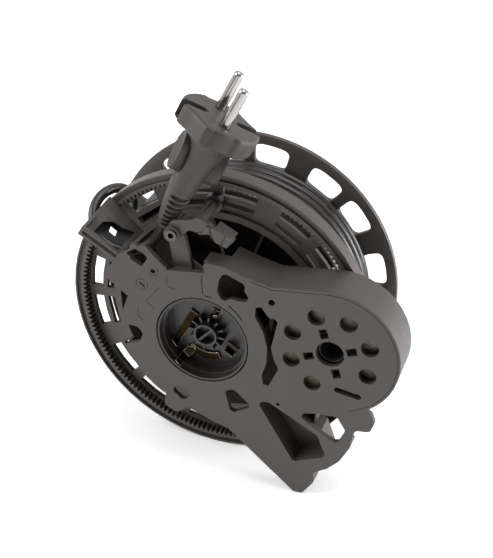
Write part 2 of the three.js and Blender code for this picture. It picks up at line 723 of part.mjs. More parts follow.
// a wire bent round the pivot pin, with a leg at each end
function brakeSpring() {
  const turns = 3.25;
  const perTurn = 8;
  const wire = 0.45;
  const coil = Array.from({ length: turns * perTurn + 1 }, (_, i) => {
    const flat = polar(2.55, 200 - i * 360 / perTurn, BRAKE);
    return new THREE.Vector3(flat.x, flat.y, 61.2 + 1.25 * i / perTurn);
  });
  const leg = (place, next, length) => (
    place.clone().sub(next).setLength(length).add(place)
  );
  const run = [
    leg(coil[0], coil[1], 9),
    ...coil,
    leg(coil.at(-1), coil.at(-2), 8),
  ];
  return lofted(run.map((place, i) => {
    const before = run[Math.max(i - 1, 0)];
    const after = run[Math.min(i + 1, run.length - 1)];
    const along = after.clone().sub(before).normalize();
    const up = new THREE.Vector3(0, 0, 1).addScaledVector(along, -along.z).normalize();
    const side = new THREE.Vector3().crossVectors(along, up);
    return Array.from({ length: 5 }, (_unused, k) => (
      place.clone()
        .addScaledVector(up, wire * Math.cos(k * 72 * RAD))
        .addScaledVector(side, wire * Math.sin(k * 72 * RAD))
    ));
  }));
}

// ---------------------------------------------------------------- free cord and plug
// The cord lies on the outer layer for part of a turn, lifts off over the rim of the near
// flange behind the guide wall, and turns up through the throat to the plug.
const ON_LAYER = {
  share: 0.52,          // of the whole route
  from: 250.9,          // degrees
  span: 104,
  r: 67.4,
  climb: 0.3,
  depth: 6.79,
  drift: 0.0612,        // towards the viewer, mm a degree
  lift: 0.55,           // the same where it leaves the layer
  easing: 19.4,         // degrees over which the drift grows
};

class CordRoute extends THREE.Curve {
  constructor(poles) {
    super();
    this.poles = poles;
  }

  getPoint(t, target = new THREE.Vector3()) {
    const { share } = ON_LAYER;
    return target.copy(t < share ? this.onLayer(t / share) : this.free((t - share) / (1 - share)));
  }

  onLayer(t) {
    const { from, span, r, climb, depth, drift, lift, easing } = ON_LAYER;
    const turn = span * t;
    const late = Math.max(turn - span + easing, 0);
    const flat = polar(r + climb * t, from - turn);
    const z = depth + drift * turn + (lift - drift) * late ** 2 / (2 * easing);
    return new THREE.Vector3(flat.x, flat.y, z);
  }

  // each round of the loop halves the poles' runs in the ratio t, until one place is left
  free(t) {
    let places = this.poles;
    while (places.length > 1) {
      places = places.slice(1).map((place, i) => places[i].clone().lerp(place, t));
    }
    return places[0];
  }
}

const ROUTE = new CordRoute([
  new THREE.Vector3(-56.7, 37, 17.9),
  new THREE.Vector3(-36, 68.1, 35.3),
  new THREE.Vector3(-62.4, 65.8, 38),
  new THREE.Vector3(-70.2, 69.1, 66),
  new THREE.Vector3(-54.3, 27.6, 83.6),
  new THREE.Vector3(-31.1, 28.9, 53.5),
  new THREE.Vector3(-23, 44.8, 58.1),
  new THREE.Vector3(-15.5, 56.5, 63.1),
]);

// the strain relief bends from the cord's direction into the plug's
const PLUG_AXIS = new THREE.Vector3(0.53, 0.826, -0.19).normalize();
const BEND = 11.7;
const RELIEF_BEND = (() => {
  const start = ROUTE.getPoint(1);
  const middle = start.clone().addScaledVector(ROUTE.getTangent(1), BEND);
  return new THREE.QuadraticBezierCurve3(
    start,
    middle,
    middle.clone().addScaledVector(PLUG_AXIS, BEND),
  );
})();
const RELIEF_LENGTH = RELIEF_BEND.getLength();
const PINS_ACROSS = new THREE.Vector3(0.488, 0.009, 0.873);

const cordLead = () => {
  const section = new THREE.Shape(circle(CORD_R, 8));
  return solid(new THREE.ExtrudeGeometry(section, {
    steps: 27, bevelEnabled: false, extrudePath: ROUTE,
  }));
};

// stands a body drawn along z on the end of the strain relief
function onCord(body) {
  const side = PINS_ACROSS.clone().addScaledVector(PLUG_AXIS, -PINS_ACROSS.dot(PLUG_AXIS));
  side.normalize();
  const across = new THREE.Vector3().crossVectors(PLUG_AXIS, side);
  const place = new THREE.Matrix4().makeBasis(side, across, PLUG_AXIS);
  place.setPosition(RELIEF_BEND.getPoint(1));
  return body.transform(place.elements);
}

// along the plug, from the end of the strain relief
const HEAD_BACK = 29;
const FACE = 39;

// seven ribs on a taper along the bend
function strainRelief() {
  const ribs = 7;
  const sides = 8;
  const taper = (s) => 3.6 + 2.7 * s / RELIEF_LENGTH;
  const profile = [[0.3, taper(0)], [2.4, taper(2.4)]];
  for (let k = 0; k < ribs; k += 1) {
    const s = 2.6 + k * 2.8;
    profile.push([s, taper(s) - 0.9], [s + 1.1, taper(s) - 0.9], [s + 1.3, taper(s) + 0.1],
      [s + 2.6, taper(s + 2.6) + 0.1]);
  }
  profile.push([RELIEF_LENGTH - 0.3, taper(RELIEF_LENGTH)]);
  return lofted(profile.map(([s, r]) => {
    const place = RELIEF_BEND.getPointAt(s / RELIEF_LENGTH);
    const along = RELIEF_BEND.getTangentAt(s / RELIEF_LENGTH);
    const side = new THREE.Vector3().crossVectors(PINS_ACROSS, along).normalize();
    const across = new THREE.Vector3().crossVectors(along, side);
    return Array.from({ length: sides }, (_, k) => (
      place.clone()
        .addScaledVector(side, r * Math.cos(k * 2 * Math.PI / sides))
        .addScaledVector(across, r * Math.sin(k * 2 * Math.PI / sides))
    ));
  }));
}

// a handle that swells into a round head, with two earth slots and two dished finger rests
function plugBody() {
  const head = turned([[0, 0], [6.6, 0], [7, 5], [7.4, 11], [8.8, 18], [12, 24],
    [16.8, HEAD_BACK], [18.6, HEAD_BACK + 1], [19.2, HEAD_BACK + 3], [19.2, FACE - 2],
    [18.2, FACE], [0, FACE]], 18);
  const slots = [1, -1].flatMap((side) => [
    block(-2.6, 2.6, side * 16.6, side * 21, 27, 41),
    block(-1.8, 1.8, side * 8, side * 18, 33, 41),
  ]);
  const oval = (x, y, z, away) => [1, -1].map((side) => {
    const shape = new THREE.SphereGeometry(1, 8, 5);
    shape.scale(x, y, z);
    shape.translate(0, side * away, 17.5);
    return solid(shape);
  });
  const rests = oval(6.8, 7.5, 9.6, 5);
  return onCord(cut(joined(head, ...rests), ...slots, ...oval(6, 3.4, 8.4, 13.2)));
}

const plugPin = (side) => onCord(turned([[0, FACE + 0.3], [PIN_R, FACE + 0.3],
  [PIN_R, FACE + PIN_LENGTH - 1.4], [PIN_R - 1, FACE + PIN_LENGTH], [0, FACE + PIN_LENGTH]], 16)
  .translate([side * PIN_SPACING / 2, 0, 0]));

// ---------------------------------------------------------------- assembly
const reel = new THREE.Group();
const front = new THREE.Group();
front.rotation.x = Math.PI / 2;
front.position.set(-9.15, 36.83, DRUM_R);
reel.add(front);
const frame = new THREE.Group();
frame.rotation.z = LEAN * RAD;
front.add(frame);

piece('drum_near_flange', nearFlange(), DRUM_PLASTIC, front);
piece('drum_far_flange', farFlange(), DRUM_PLASTIC, front);
piece('drum_core', drumCore(), DRUM_PLASTIC, front);
piece('cord_inner_layers', innerLayers(), CORD_SKIN, front);
piece('cord_winding', cordWinding(), CORD_SKIN, front);
piece('cord_clamp', cordClamp(), CARRIER_PLASTIC, front);
piece('slip_ring_holder', slipRingHolder(), CARRIER_PLASTIC, front);
piece('slip_ring_inner', slipRing(SLIP_INNER), BRASS, front);
piece('slip_ring_outer', slipRing(SLIP_OUTER), BRASS, front);

piece('frame_plate', framePlate(), PLASTIC, frame);
piece('drum_axle', drumAxle(), CARRIER_PLASTIC, frame);
piece('retaining_washer', retainingWasher(), STEEL, frame);
piece('axle_screw', axleScrew(), STEEL, frame);

piece('contact_carrier', contactCarrier(), CARRIER_PLASTIC, frame);
piece('contact_strip_long', longStrip(), BRASS, frame);
piece('contact_strip_round', roundStrip(), BRASS, frame);
piece('terminal_blade', terminal(), BRASS, frame);
piece('spring_contact', springContact(), BRASS, frame);
piece('brush_inner', brush(SLIP_INNER, 90), BRASS, frame);
piece('brush_outer', brush(SLIP_OUTER, 270), BRASS, frame);

piece('idler_gear', idlerGear(), GEAR_PLASTIC, frame);
piece('idler_pin', idlerPin(), STEEL, frame);
piece('spring_wheel', springWheel(), GEAR_PLASTIC, frame);
piece('spring_arbor_pin', arborPin(), STEEL, frame);
piece('mainspring', mainspring(), SPRING_STEEL, frame);
piece('spring_back_cover', springBackCover(), PLASTIC, frame);
COVER_SCREWS.forEach((place, k) => {
  piece(`cover_screw_${k + 1}`, coverScrew(place), STEEL, frame);
});

piece('brake_lever', brakeLever(), PLASTIC, frame);
piece('brake_roller', brakeRoller(), CARRIER_PLASTIC, frame);
piece('brake_pivot_pin', brakePin(), STEEL, frame);
piece('brake_spring', brakeSpring(), STEEL, frame);

piece('cord_lead', cordLead(), CORD_SKIN, frame);
piece('strain_relief', strainRelief(), PLUG_SKIN, frame);
piece('plug_body', plugBody(), PLUG_SKIN, frame);
piece('plug_pin_1', plugPin(-1), CHROME, frame);
piece('plug_pin_2', plugPin(1), CHROME, frame);

export default reel;
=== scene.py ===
import bpy
import bmesh
import json
import math
import numpy as np
from mathutils import Matrix, Vector


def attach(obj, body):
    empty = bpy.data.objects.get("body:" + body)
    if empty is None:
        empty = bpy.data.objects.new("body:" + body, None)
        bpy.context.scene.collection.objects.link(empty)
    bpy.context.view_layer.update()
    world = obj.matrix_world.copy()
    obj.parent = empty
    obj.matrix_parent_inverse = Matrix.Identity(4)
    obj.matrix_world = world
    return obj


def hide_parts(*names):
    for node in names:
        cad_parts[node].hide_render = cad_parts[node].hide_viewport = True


# Automatic cord reel: materials, cord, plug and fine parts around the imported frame.
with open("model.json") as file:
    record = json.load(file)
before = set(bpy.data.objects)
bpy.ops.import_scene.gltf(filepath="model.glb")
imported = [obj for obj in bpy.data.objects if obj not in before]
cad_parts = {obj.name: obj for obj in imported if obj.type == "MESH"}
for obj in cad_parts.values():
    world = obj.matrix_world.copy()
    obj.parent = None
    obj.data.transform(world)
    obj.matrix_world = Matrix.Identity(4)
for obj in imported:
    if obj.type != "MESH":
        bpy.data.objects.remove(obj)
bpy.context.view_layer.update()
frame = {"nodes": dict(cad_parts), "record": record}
scene = bpy.context.scene
nodes = frame["nodes"]

mm = 0.001
smoothUnder = 28  # degrees: flatter edges of the solids shade smoothly
nodeSlots = {row["node"]: row["material_slot"] for row in frame["record"]["subparts"]}
nodeBodies = {n: body for body, members in frame["record"]["behaviour"]["bodies"].items()
              for n in members}
reelPlace = {
    "axisX": -9.15, "axisZ": 77.6,  # the drum's axis in the row frame, mm
    "farFace": 36.83,  # y of the outside of the far flange, mm
    "lean": math.radians(8.7),  # the frame leans over on its leg
}


def inScene(name, data):
    made = bpy.data.objects.new(name, data)
    scene.collection.objects.link(made)
    return made


# camera: its place in metres and its directions to the right and backwards
cameraSetup = {
    "place": (0.15687, -0.47359, 0.40645),
    "right": (0.940, 0.339, 0.041),
    "back": (0.267, -0.804, 0.532),
    "lens": 77.4, "sensor": 36, "clip": (0.01, 20),
}


def makeCamera(setup):
    camera = bpy.data.cameras.new("camera")
    camera.lens = setup["lens"]
    camera.sensor_width = setup["sensor"]
    camera.clip_start, camera.clip_end = setup["clip"]
    holder = inScene("camera", camera)
    back = Vector(setup["back"]).normalized()
    right = Vector(setup["right"])
    right = (right - back * right.dot(back)).normalized()
    up = back.cross(right)
    turn = Matrix((right, up, back)).transposed().to_4x4()
    holder.matrix_world = Matrix.Translation(setup["place"]) @ turn
    scene.camera = holder


makeCamera(cameraSetup)
print("camera in place")


# Front view (right, up, towards the viewer, mm) turned by the lean and set on the drum's
# axis, in metres of the row frame.
def toRow(places, leaning=True):
    p = np.asarray(places, float)
    angle = reelPlace["lean"] if leaning else 0.0
    c, s = math.cos(angle), math.sin(angle)
    x = p[..., 0] * c - p[..., 1] * s + reelPlace["axisX"]
    z = p[..., 0] * s + p[..., 1] * c + reelPlace["axisZ"]
    return np.stack([x, reelPlace["farFace"] - p[..., 2], z], -1) * mm


# a vector over its own length
def unit(v):
    return v / np.linalg.norm(v, axis=-1, keepdims=True)


# Three times the squared share of the way from low to high, less twice its cube.
def smoothStep(x, low, high):
    t = np.clip((x - low) / (high - low), 0, 1)
    return t * t * (3 - 2 * t)


# places at a radius, an angle and a depth about the depth axis
def polar(r, angle, depth):
    r, angle, depth = np.broadcast_arrays(r, angle, depth)
    return np.stack([r * np.cos(angle), r * np.sin(angle), depth], -1)


# The middle plus the radius times the cosine and sine of each turn.
def circle(middle, r, count):
    a = np.arange(count) * 2 * np.pi / count
    return np.stack([middle[0] + r * np.cos(a), middle[1] + r * np.sin(a)], -1)


# Even steps along each side of a closed outline: the shares of its two corners add to one.
def stepsBetween(corners, steps):
    p = np.asarray(corners, float)
    share = np.linspace(0, 1, steps, endpoint=False)[None, :, None]
    run = p[:, None] * (1 - share) + np.roll(p, -1, 0)[:, None] * share
    return run.reshape(-1, p.shape[1])


# an outline with each point moved away from its middle
def widened(run, by):
    return run + unit(run - run.mean(0)) * by


# A flat outline repeated at each depth.
def prismRings(outline, depths):
    flat = np.asarray(outline, float)
    return np.stack([np.column_stack([flat, np.full(len(flat), z)]) for z in depths])


# A profile of (radius, depth) turned about the depth axis.
def turnedRings(profile, sides, phase=0.0):
    p = np.asarray(profile, float)
    a = np.arange(sides) * 2 * np.pi / sides + phase
    return polar(p[:, :1], a, p[:, 1:2])


# Circles of the given radius square to the path; outward is a direction at each place, made
# square to the path, from which the angle round the tube counts.
def alongPath(path, radius, sides, outward):
    along = unit(np.gradient(path, axis=0))
    out = unit(outward - along * np.sum(outward * along, -1, keepdims=True))
    side = np.cross(along, out)
    turn = np.arange(sides)[None, :, None] * 2 * np.pi / sides
    ring = out[:, None] * np.cos(turn) + side[:, None] * np.sin(turn)
    return path[:, None] + radius * ring


# quads from each ring to the next, closed round the sides
def ringQuads(rows, sides):
    i = np.arange(rows - 1)[:, None] * sides
    k = np.arange(sides)[None, :]
    n = (k + 1) % sides
    return np.stack([i + k, i + n, i + sides + n, i + sides + k], -1).reshape(-1, 4)


# Rings of points joined in order; each end closes on its own middle point. The faces are
# turned over if the signed volume is below zero.
def closedLoft(rings):
    rows, sides = rings.shape[:2]
    verts = np.concatenate([rings.reshape(-1, 3), rings[:1].mean(1), rings[-1:].mean(1)])
    k = np.arange(sides)
    n = (k + 1) % sides
    last = (rows - 1) * sides
    start = np.stack([n, k, np.full(sides, rows * sides)], -1)
    end = np.stack([last + k, last + n, np.full(sides, rows * sides + 1)], -1)
    quads = ringQuads(rows, sides)
    corners = np.concatenate([quads[:, [0, 1, 2]], quads[:, [0, 2, 3]], start, end])
    a, b, c = (verts[corners[:, j]] for j in range(3))
    faces = [quads, start, end]
    if np.einsum("ij,ij->", a, np.cross(b, c)) < 0:
        faces = [f[:, ::-1] for f in faces]
    return verts, sum((f.tolist() for f in faces), [])


# several sets of points and faces as one
def joinParts(parts):
    start, verts, faces = 0, [], []
    for places, corners in parts:
        verts.append(places)
        faces += [[c + start for c in face] for face in corners]
        start += len(places)
    return np.concatenate(verts), faces


def shadeSmooth(mesh, sharpDegrees):
    mesh.shade_smooth()
    mesh.set_sharp_from_angle(angle=math.radians(sharpDegrees))


# a new piece on its body, with its slot and that slot's finish
def meshPiece(name, verts, faces, body, slot, sharpDegrees=None):
    mesh = bpy.data.meshes.new(name)
    mesh.from_pydata(verts.tolist(), [], faces)
    mesh.update()
    if sharpDegrees is not None:
        shadeSmooth(mesh, sharpDegrees)
    made = inScene(name, mesh)
    mesh.materials.append(finishes[slot])
    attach(made, body)
    return made


# merges the seams of a piece made of parts, turns its faces outward and shades it
def closeSeams(made, reach, sharpDegrees):
    editable = bmesh.new()
    editable.from_mesh(made.data)
    bmesh.ops.remove_doubles(editable, verts=editable.verts, dist=reach)
    bmesh.ops.recalc_face_normals(editable, faces=editable.faces)
    openEdges = sum(1 for edge in editable.edges if len(edge.link_faces) != 2)
    editable.to_mesh(made.data)
    editable.free()
    shadeSmooth(made.data, sharpDegrees)
    print(made.name, "open edges:", openEdges)


# takes closed cutters out of a piece and shades it again
def carve(made, cutters, sharpDegrees=smoothUnder):
    verts, faces = joinParts(cutters)
    mesh = bpy.data.meshes.new("cutter")
    mesh.from_pydata(verts.tolist(), [], faces)
    tool = inScene("cutter", mesh)
    step = made.modifiers.new("carve", "BOOLEAN")
    step.operation = "DIFFERENCE"
    step.solver = "MANIFOLD"
    step.object = tool
    bpy.context.view_layer.update()
    whole = made.evaluated_get(bpy.context.evaluated_depsgraph_get())
    carved = bpy.data.meshes.new_from_object(whole)
    made.modifiers.clear()
    made.data = carved
    shadeSmooth(carved, sharpDegrees)
    bpy.data.objects.remove(tool)
    print(made.name, "carved, faces:", len(carved.polygons))


# shader groups shared by the finishes
def shaderGroup(name, inputs, outputs):
    group = bpy.data.node_groups.new(name, "ShaderNodeTree")
    for label, kind, value in inputs:
        socket = group.interface.new_socket(label, in_out="INPUT", socket_type=kind)
        socket.default_value = value
    for label, kind in outputs:
        group.interface.new_socket(label, in_out="OUTPUT", socket_type=kind)
    return group, group.nodes.new("NodeGroupInput"), group.nodes.new("NodeGroupOutput")


# a node with its settings; an input is a socket to link or a plain value
def wire(tree, kind, inputs=None, **settings):
    node = tree.nodes.new(kind)
    for key, value in settings.items():
        setattr(node, key, value)
    for key, value in (inputs or {}).items():
        if isinstance(value, bpy.types.NodeSocket):
            tree.links.new(value, node.inputs[key])
        else:
            node.inputs[key].default_value = value
    return node


def mathNode(tree, operation, *values):
    return wire(tree, "ShaderNodeMath", dict(enumerate(values)), operation=operation).outputs[0]


skinSetup = {
    "slowScale": 70.0, "midScale": 420.0,  # per metre
    "slowShare": 0.65, "midShare": 0.35, "gain": 4.0,
}


# Colour: the tone times one plus the product of gain, spread and the mixed noise less a
# half. Roughness: its own value plus the middling noise less a half, times the unevenness.
# Height: the fine noise.
def makeMouldedSkin(setup):
    group, source, sink = shaderGroup("mouldedSkin", [
        ("Tone", "NodeSocketColor", (0.1, 0.1, 0.1, 1)), ("Spread", "NodeSocketFloat", 0.1),
        ("Roughness", "NodeSocketFloat", 0.5), ("Grain", "NodeSocketFloat", 2400.0),
        ("Uneven", "NodeSocketFloat", 0.25),
    ], [("Color", "NodeSocketColor"), ("Roughness", "NodeSocketFloat"),
        ("Height", "NodeSocketFloat")])
    place = wire(group, "ShaderNodeTexCoord").outputs["Object"]
    slow = wire(group, "ShaderNodeTexNoise", {
        "Vector": place, "Scale": setup["slowScale"], "Detail": 3.0}).outputs["Fac"]
    mid = wire(group, "ShaderNodeTexNoise", {
        "Vector": place, "Scale": setup["midScale"], "Detail": 4.0}).outputs["Fac"]
    fine = wire(group, "ShaderNodeTexNoise", {
        "Vector": place, "Scale": source.outputs["Grain"], "Detail": 2.0}).outputs["Fac"]
    mixed = mathNode(group, "ADD", mathNode(group, "MULTIPLY", slow, setup["slowShare"]),
                     mathNode(group, "MULTIPLY", mid, setup["midShare"]))
    swing = mathNode(group, "MULTIPLY", mathNode(group, "SUBTRACT", mixed, 0.5),
                     source.outputs["Spread"])
    level = mathNode(group, "MULTIPLY_ADD", swing, setup["gain"], 1.0)
    shade = wire(group, "ShaderNodeVectorMath", {0: source.outputs["Tone"], 1: level},
                 operation="MULTIPLY")
    rough = mathNode(group, "MULTIPLY_ADD", mathNode(group, "SUBTRACT", mid, 0.5),
                     source.outputs["Uneven"], source.outputs["Roughness"])
    group.links.new(shade.outputs[0], sink.inputs["Color"])
    group.links.new(rough, sink.inputs["Roughness"])
    group.links.new(fine, sink.inputs["Height"])
    return group


# A softened normal near edges, and a mask that rises from 0 to 1 as the dot product of the
# softened normal and the plain one falls; the mask places a painted highlight along the edges.
def makeEdgeGlint():
    group, source, sink = shaderGroup("edgeGlint", [
        ("Width", "NodeSocketFloat", 0.0003)], [
        ("Normal", "NodeSocketVector"), ("Mask", "NodeSocketFloat")])
    soft = wire(group, "ShaderNodeBevel", {"Radius": source.outputs["Width"]}, samples=4)
    flat = wire(group, "ShaderNodeNewGeometry").outputs["Normal"]
    agree = wire(group, "ShaderNodeVectorMath", {0: soft.outputs[0], 1: flat},
                 operation="DOT_PRODUCT").outputs["Value"]
    mask = wire(group, "ShaderNodeMapRange", {
        "Value": agree, "From Min": 0.995, "From Max": 0.85, "To Min": 0.0, "To Max": 1.0})
    group.links.new(soft.outputs[0], sink.inputs["Normal"])
    group.links.new(mask.outputs[0], sink.inputs["Mask"])
    return group


mouldedSkin = makeMouldedSkin(skinSetup)
edgeGlint = makeEdgeGlint()

# what the plastics share and what the metals share; a finish may change any of it
plasticSetup = {
    "metallic": 0.0, "coat": 0.0, "spread": 0.12, "grain": 2400.0, "uneven": 0.25,
    # the edge width, gain, lift and share set the painted highlight along the edges; the width
    # also softens the normal
    "edgeWidth": 0.0003, "edgeGain": 1.9, "edgeLift": 0.03, "glintShare": 0.25,
    "bump": 0.6, "depth": 0.00003,
}
metalSetup = {
    "metallic": 1.0, "coat": 0.0, "spread": 0.1, "grain": 900.0, "uneven": 0.25,
    "edgeWidth": 0.00015, "edgeGain": 1.0, "edgeLift": 0.0, "glintShare": 1.0,
    "bump": 0.4, "depth": 0.00002,
}


# The skin's colour goes over to the edge tone, a painted highlight, where the edge mask rises,
# and the skin's height is a bump on the softened normal. Unless it is given, the edge tone is
# the tone times the gain plus the lift. A finish with no edge width has neither painted
# highlight nor bump.
def makeFinish(name, shared, tone, roughness, edgeTone=None, **changes):
    values = {**shared, **changes}
    made = bpy.data.materials.new(name)
    made.use_nodes = True
    tree = made.node_tree
    shader = tree.nodes["Principled BSDF"]
    shader.inputs["Metallic"].default_value = values["metallic"]
    shader.inputs["Coat Weight"].default_value = values["coat"]
    shader.inputs["Roughness"].default_value = roughness
    skin = wire(tree, "ShaderNodeGroup", {
        "Tone": (*tone, 1), "Spread": values["spread"], "Roughness": roughness,
        "Grain": values["grain"], "Uneven": values["uneven"]}, node_tree=mouldedSkin)
    colour = skin.outputs["Color"]
    if values["uneven"]:
        tree.links.new(skin.outputs["Roughness"], shader.inputs["Roughness"])
    if values["edgeWidth"]:
        # painted highlight: where the edge mask rises the colour goes over to a lighter edge
        # tone
        edge = wire(tree, "ShaderNodeGroup", {"Width": values["edgeWidth"]}, node_tree=edgeGlint)
        gain, lift = values["edgeGain"], values["edgeLift"]
        glintColour = edgeTone or [min(1.0, t * gain + lift) for t in tone]
        colour = wire(tree, "ShaderNodeMix", {
            "Factor": mathNode(tree, "MULTIPLY", edge.outputs["Mask"], values["glintShare"]),
            "A": colour, "B": (*glintColour, 1)}, data_type="RGBA").outputs["Result"]
        bump = wire(tree, "ShaderNodeBump", {
            "Height": skin.outputs["Height"], "Normal": edge.outputs["Normal"],
            "Strength": values["bump"], "Distance": values["depth"]})
        tree.links.new(bump.outputs[0], shader.inputs["Normal"])
    tree.links.new(colour, shader.inputs["Base Color"])
    return made


finishes = {
    "frame_plastic": makeFinish("framePlastic", plasticSetup, (0.045, 0.0358, 0.0304), 0.50),
    "drum_plastic": makeFinish("drumPlastic", plasticSetup, (0.053, 0.0424, 0.0362), 0.46),
    "inner_plastic": makeFinish("innerPlastic", plasticSetup, (0.017, 0.0145, 0.013), 0.34),
    "gear_plastic": makeFinish("gearPlastic", plasticSetup, (0.020, 0.018, 0.016), 0.42,
                               spread=0.06),
    "cord_skin": makeFinish("cordSkin", plasticSetup, (0.012, 0.0098, 0.0084), 0.36,
                            spread=0.02, grain=300.0, edgeWidth=0.0, coat=0.05, uneven=0.0),
    "plug_skin": makeFinish("plugSkin", plasticSetup, (0.031, 0.0250, 0.0215), 0.52,
                            grain=1800.0, depth=0.00004, edgeWidth=0.0005),
    "steel": makeFinish("blackedSteel", metalSetup, (0.10, 0.095, 0.09), 0.40),
    "spring_steel": makeFinish("springSteel", metalSetup, (0.36, 0.30, 0.245), 0.44,
                               spread=0.3),
    # the brass's pale edge tone is a painted glint along its edges
    "brass": makeFinish("stampedBrass", metalSetup, (0.016, 0.010, 0.005), 0.32,
                        spread=0.30, edgeWidth=0.0005, edgeTone=(1.0, 0.86, 0.60)),
    "chrome": makeFinish("nickelPins", metalSetup, (0.40, 0.385, 0.37), 0.12, spread=0.05),
}
print("finishes made:", len(finishes))


# the cord's outer layer on the drum
cordSetup = {
    "radius": 2.5, "layerRadius": 61.8, "turns": 7.25, "pitch": 5.02, "start": 30.0,
    "farThick": 3.0, "nearBack": 44.5, "wander": 0.16, "wanderRates": (2.3, 0.37),
    "stepsPerTurn": 96, "sides": 16, "sharp": 50,
}


# A helix of constant pitch, with a straight run of one diameter at each end. Its radius
# wanders by the product of two sines of the angle, fully from half a turn off each end.
def windingPath(setup):
    steps = int(setup["turns"] * setup["stepsPerTurn"])
    turn = np.arange(steps + 1) / setup["stepsPerTurn"]
    angle = np.radians(setup["start"] - 360 * turn)
    middle = (setup["farThick"] + setup["nearBack"]) / 2
    ease = np.clip(np.minimum(turn, setup["turns"] - turn) * 2, 0, 1)
    quick, slow = setup["wanderRates"]
    wander = setup["wander"] * np.sin(angle * quick + 1) * np.sin(angle * slow) * ease
    w = middle - (turn - setup["turns"] / 2) * setup["pitch"]
    line = polar(setup["layerRadius"] + wander, angle, w)
    run = 2 * setup["radius"]
    before = line[0] + unit(line[0] - line[1]) * run
    after = line[-1] + unit(line[-1] - line[-2]) * run
    return np.concatenate([before[None], line, after[None]])


winding = windingPath(cordSetup)
windingRings = alongPath(winding, cordSetup["radius"], cordSetup["sides"], winding * (1, 1, 0))
outerLayer = meshPiece("cordOuterLayer", *closedLoft(toRow(windingRings, leaning=False)),
                       "drum", "cord_skin", cordSetup["sharp"])
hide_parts("cord_winding")

# the free lead: part of a turn on the outer layer, then a free curve to the strain relief
onLayerSetup = {
    "from": 250.9, "span": 104.0, "merge": 40.0, "radius": 67.4, "climb": 0.3, "sunk": 5.6,
    "depth": 6.79, "drift": 0.0612, "driftFrom": -18, "lift": 0.55, "easing": 19.4,
    "points": 120,
}
leadSetup = {
    "poles": [(-56.7, 37, 17.9), (-36, 68.1, 35.3), (-62.4, 65.8, 38), (-70.2, 69.1, 66),
              (-54.3, 27.6, 83.6), (-31.1, 28.9, 53.5), (-23, 44.8, 58.1), (-15.5, 56.5, 63.1)],
    "points": 97, "sides": 20,
    "blend": (119, 150),  # points over which outward goes from the drum's axis to the curve
}


# Repeated halving of the runs between poles in the ratio t (a Bezier curve).
def poleCurve(poles, t):
    places = [np.asarray(p, float)[None] for p in poles]
    ratio = np.asarray(t, float)[:, None]
    while len(places) > 1:
        places = [a + (b - a) * ratio for a, b in zip(places, places[1:])]
    return places[0]


# Part of a turn on top of the outer layer. It first comes up out of the layer, then drifts
# towards the viewer, and its drift grows where it lifts off.
def layerPath(setup):
    turn = np.linspace(-setup["merge"], setup["span"], setup["points"])
    late = np.maximum(turn - setup["span"] + setup["easing"], 0)
    sunk = setup["sunk"] * (1 - smoothStep(turn, -setup["merge"], 0))
    r = setup["radius"] - sunk + setup["climb"] * np.clip(turn / setup["span"], 0, 1)
    w = setup["depth"] + setup["drift"] * np.maximum(turn, setup["driftFrom"])
    w = w + (setup["lift"] - setup["drift"]) * late ** 2 / (2 * setup["easing"])
    return polar(r, np.radians(setup["from"] - turn), w)


freeLine = poleCurve(leadSetup["poles"], np.linspace(0, 1, leadSetup["points"]))
leadLine = np.concatenate([layerPath(onLayerSetup)[:-1], freeLine])
fromAxis = unit(leadLine * (1, 1, 0))
fromCurve = unit(leadLine - freeLine.mean(0))
share = smoothStep(np.arange(len(leadLine)), *leadSetup["blend"])[:, None]
leadRings = alongPath(leadLine, cordSetup["radius"], leadSetup["sides"],
                      fromAxis * (1 - share) + fromCurve * share)
lead = meshPiece("cordLead", *closedLoft(toRow(leadRings)), "frame", "cord_skin",
                 cordSetup["sharp"])
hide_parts("cord_lead")

# plug: its directions in the front view, its runs of rings along it and its pins
plugSetup = {
    "axis": (0.53, 0.826, -0.19), "pinsAcross": (0.488, 0.009, 0.873), "bend": 11.7,
    "runs": [(0, 28.6, 150), (28.7, 30.4, 30), (30.6, 37.6, 24), (37.7, 39, 16)],
    "profile": [(0, 6.5), (5, 6.9), (11, 7.5), (18, 8.6), (24, 10.1), (27.6, 11.9),
                (28.9, 14.5), (29.5, 18.1), (30.3, 19.0), (37, 19.2), (38.2, 19.0), (39, 18.1)],
    "headFrom": (28.6, 29.6), "sides": 300, "sharp": 35,
    "pinRadius": 2.4, "pinSpacing": 19.0, "pinFoot": 39.3, "pinEnd": 58.0,
    "tipWide": 1.3, "tipLong": 1.6, "domeRings": 12, "pinSides": 40, "pinSharp": 40,
}
plugAxis = unit(np.array(plugSetup["axis"]))

# the strain relief bends from the cord's direction into the plug's
reliefStart = leadLine[-1]
reliefMiddle = reliefStart + unit(leadLine[-1] - leadLine[-2]) * plugSetup["bend"]
reliefPoles = [reliefStart, reliefMiddle, reliefMiddle + plugAxis * plugSetup["bend"]]
reliefSetup = {
    "thin": 3.6, "thick": 6.3, "first": 3.4, "every": 2.75, "scoops": 7, "deep": 2.1,
    "halfLong": 0.98, "middleTurn": 97.0, "halfTurn": 52.0, "reach": 1.15, "slope": 0.55,
    "ends": (0.3, 0.02), "rows": 300, "sides": 96, "sharp": 60,
}


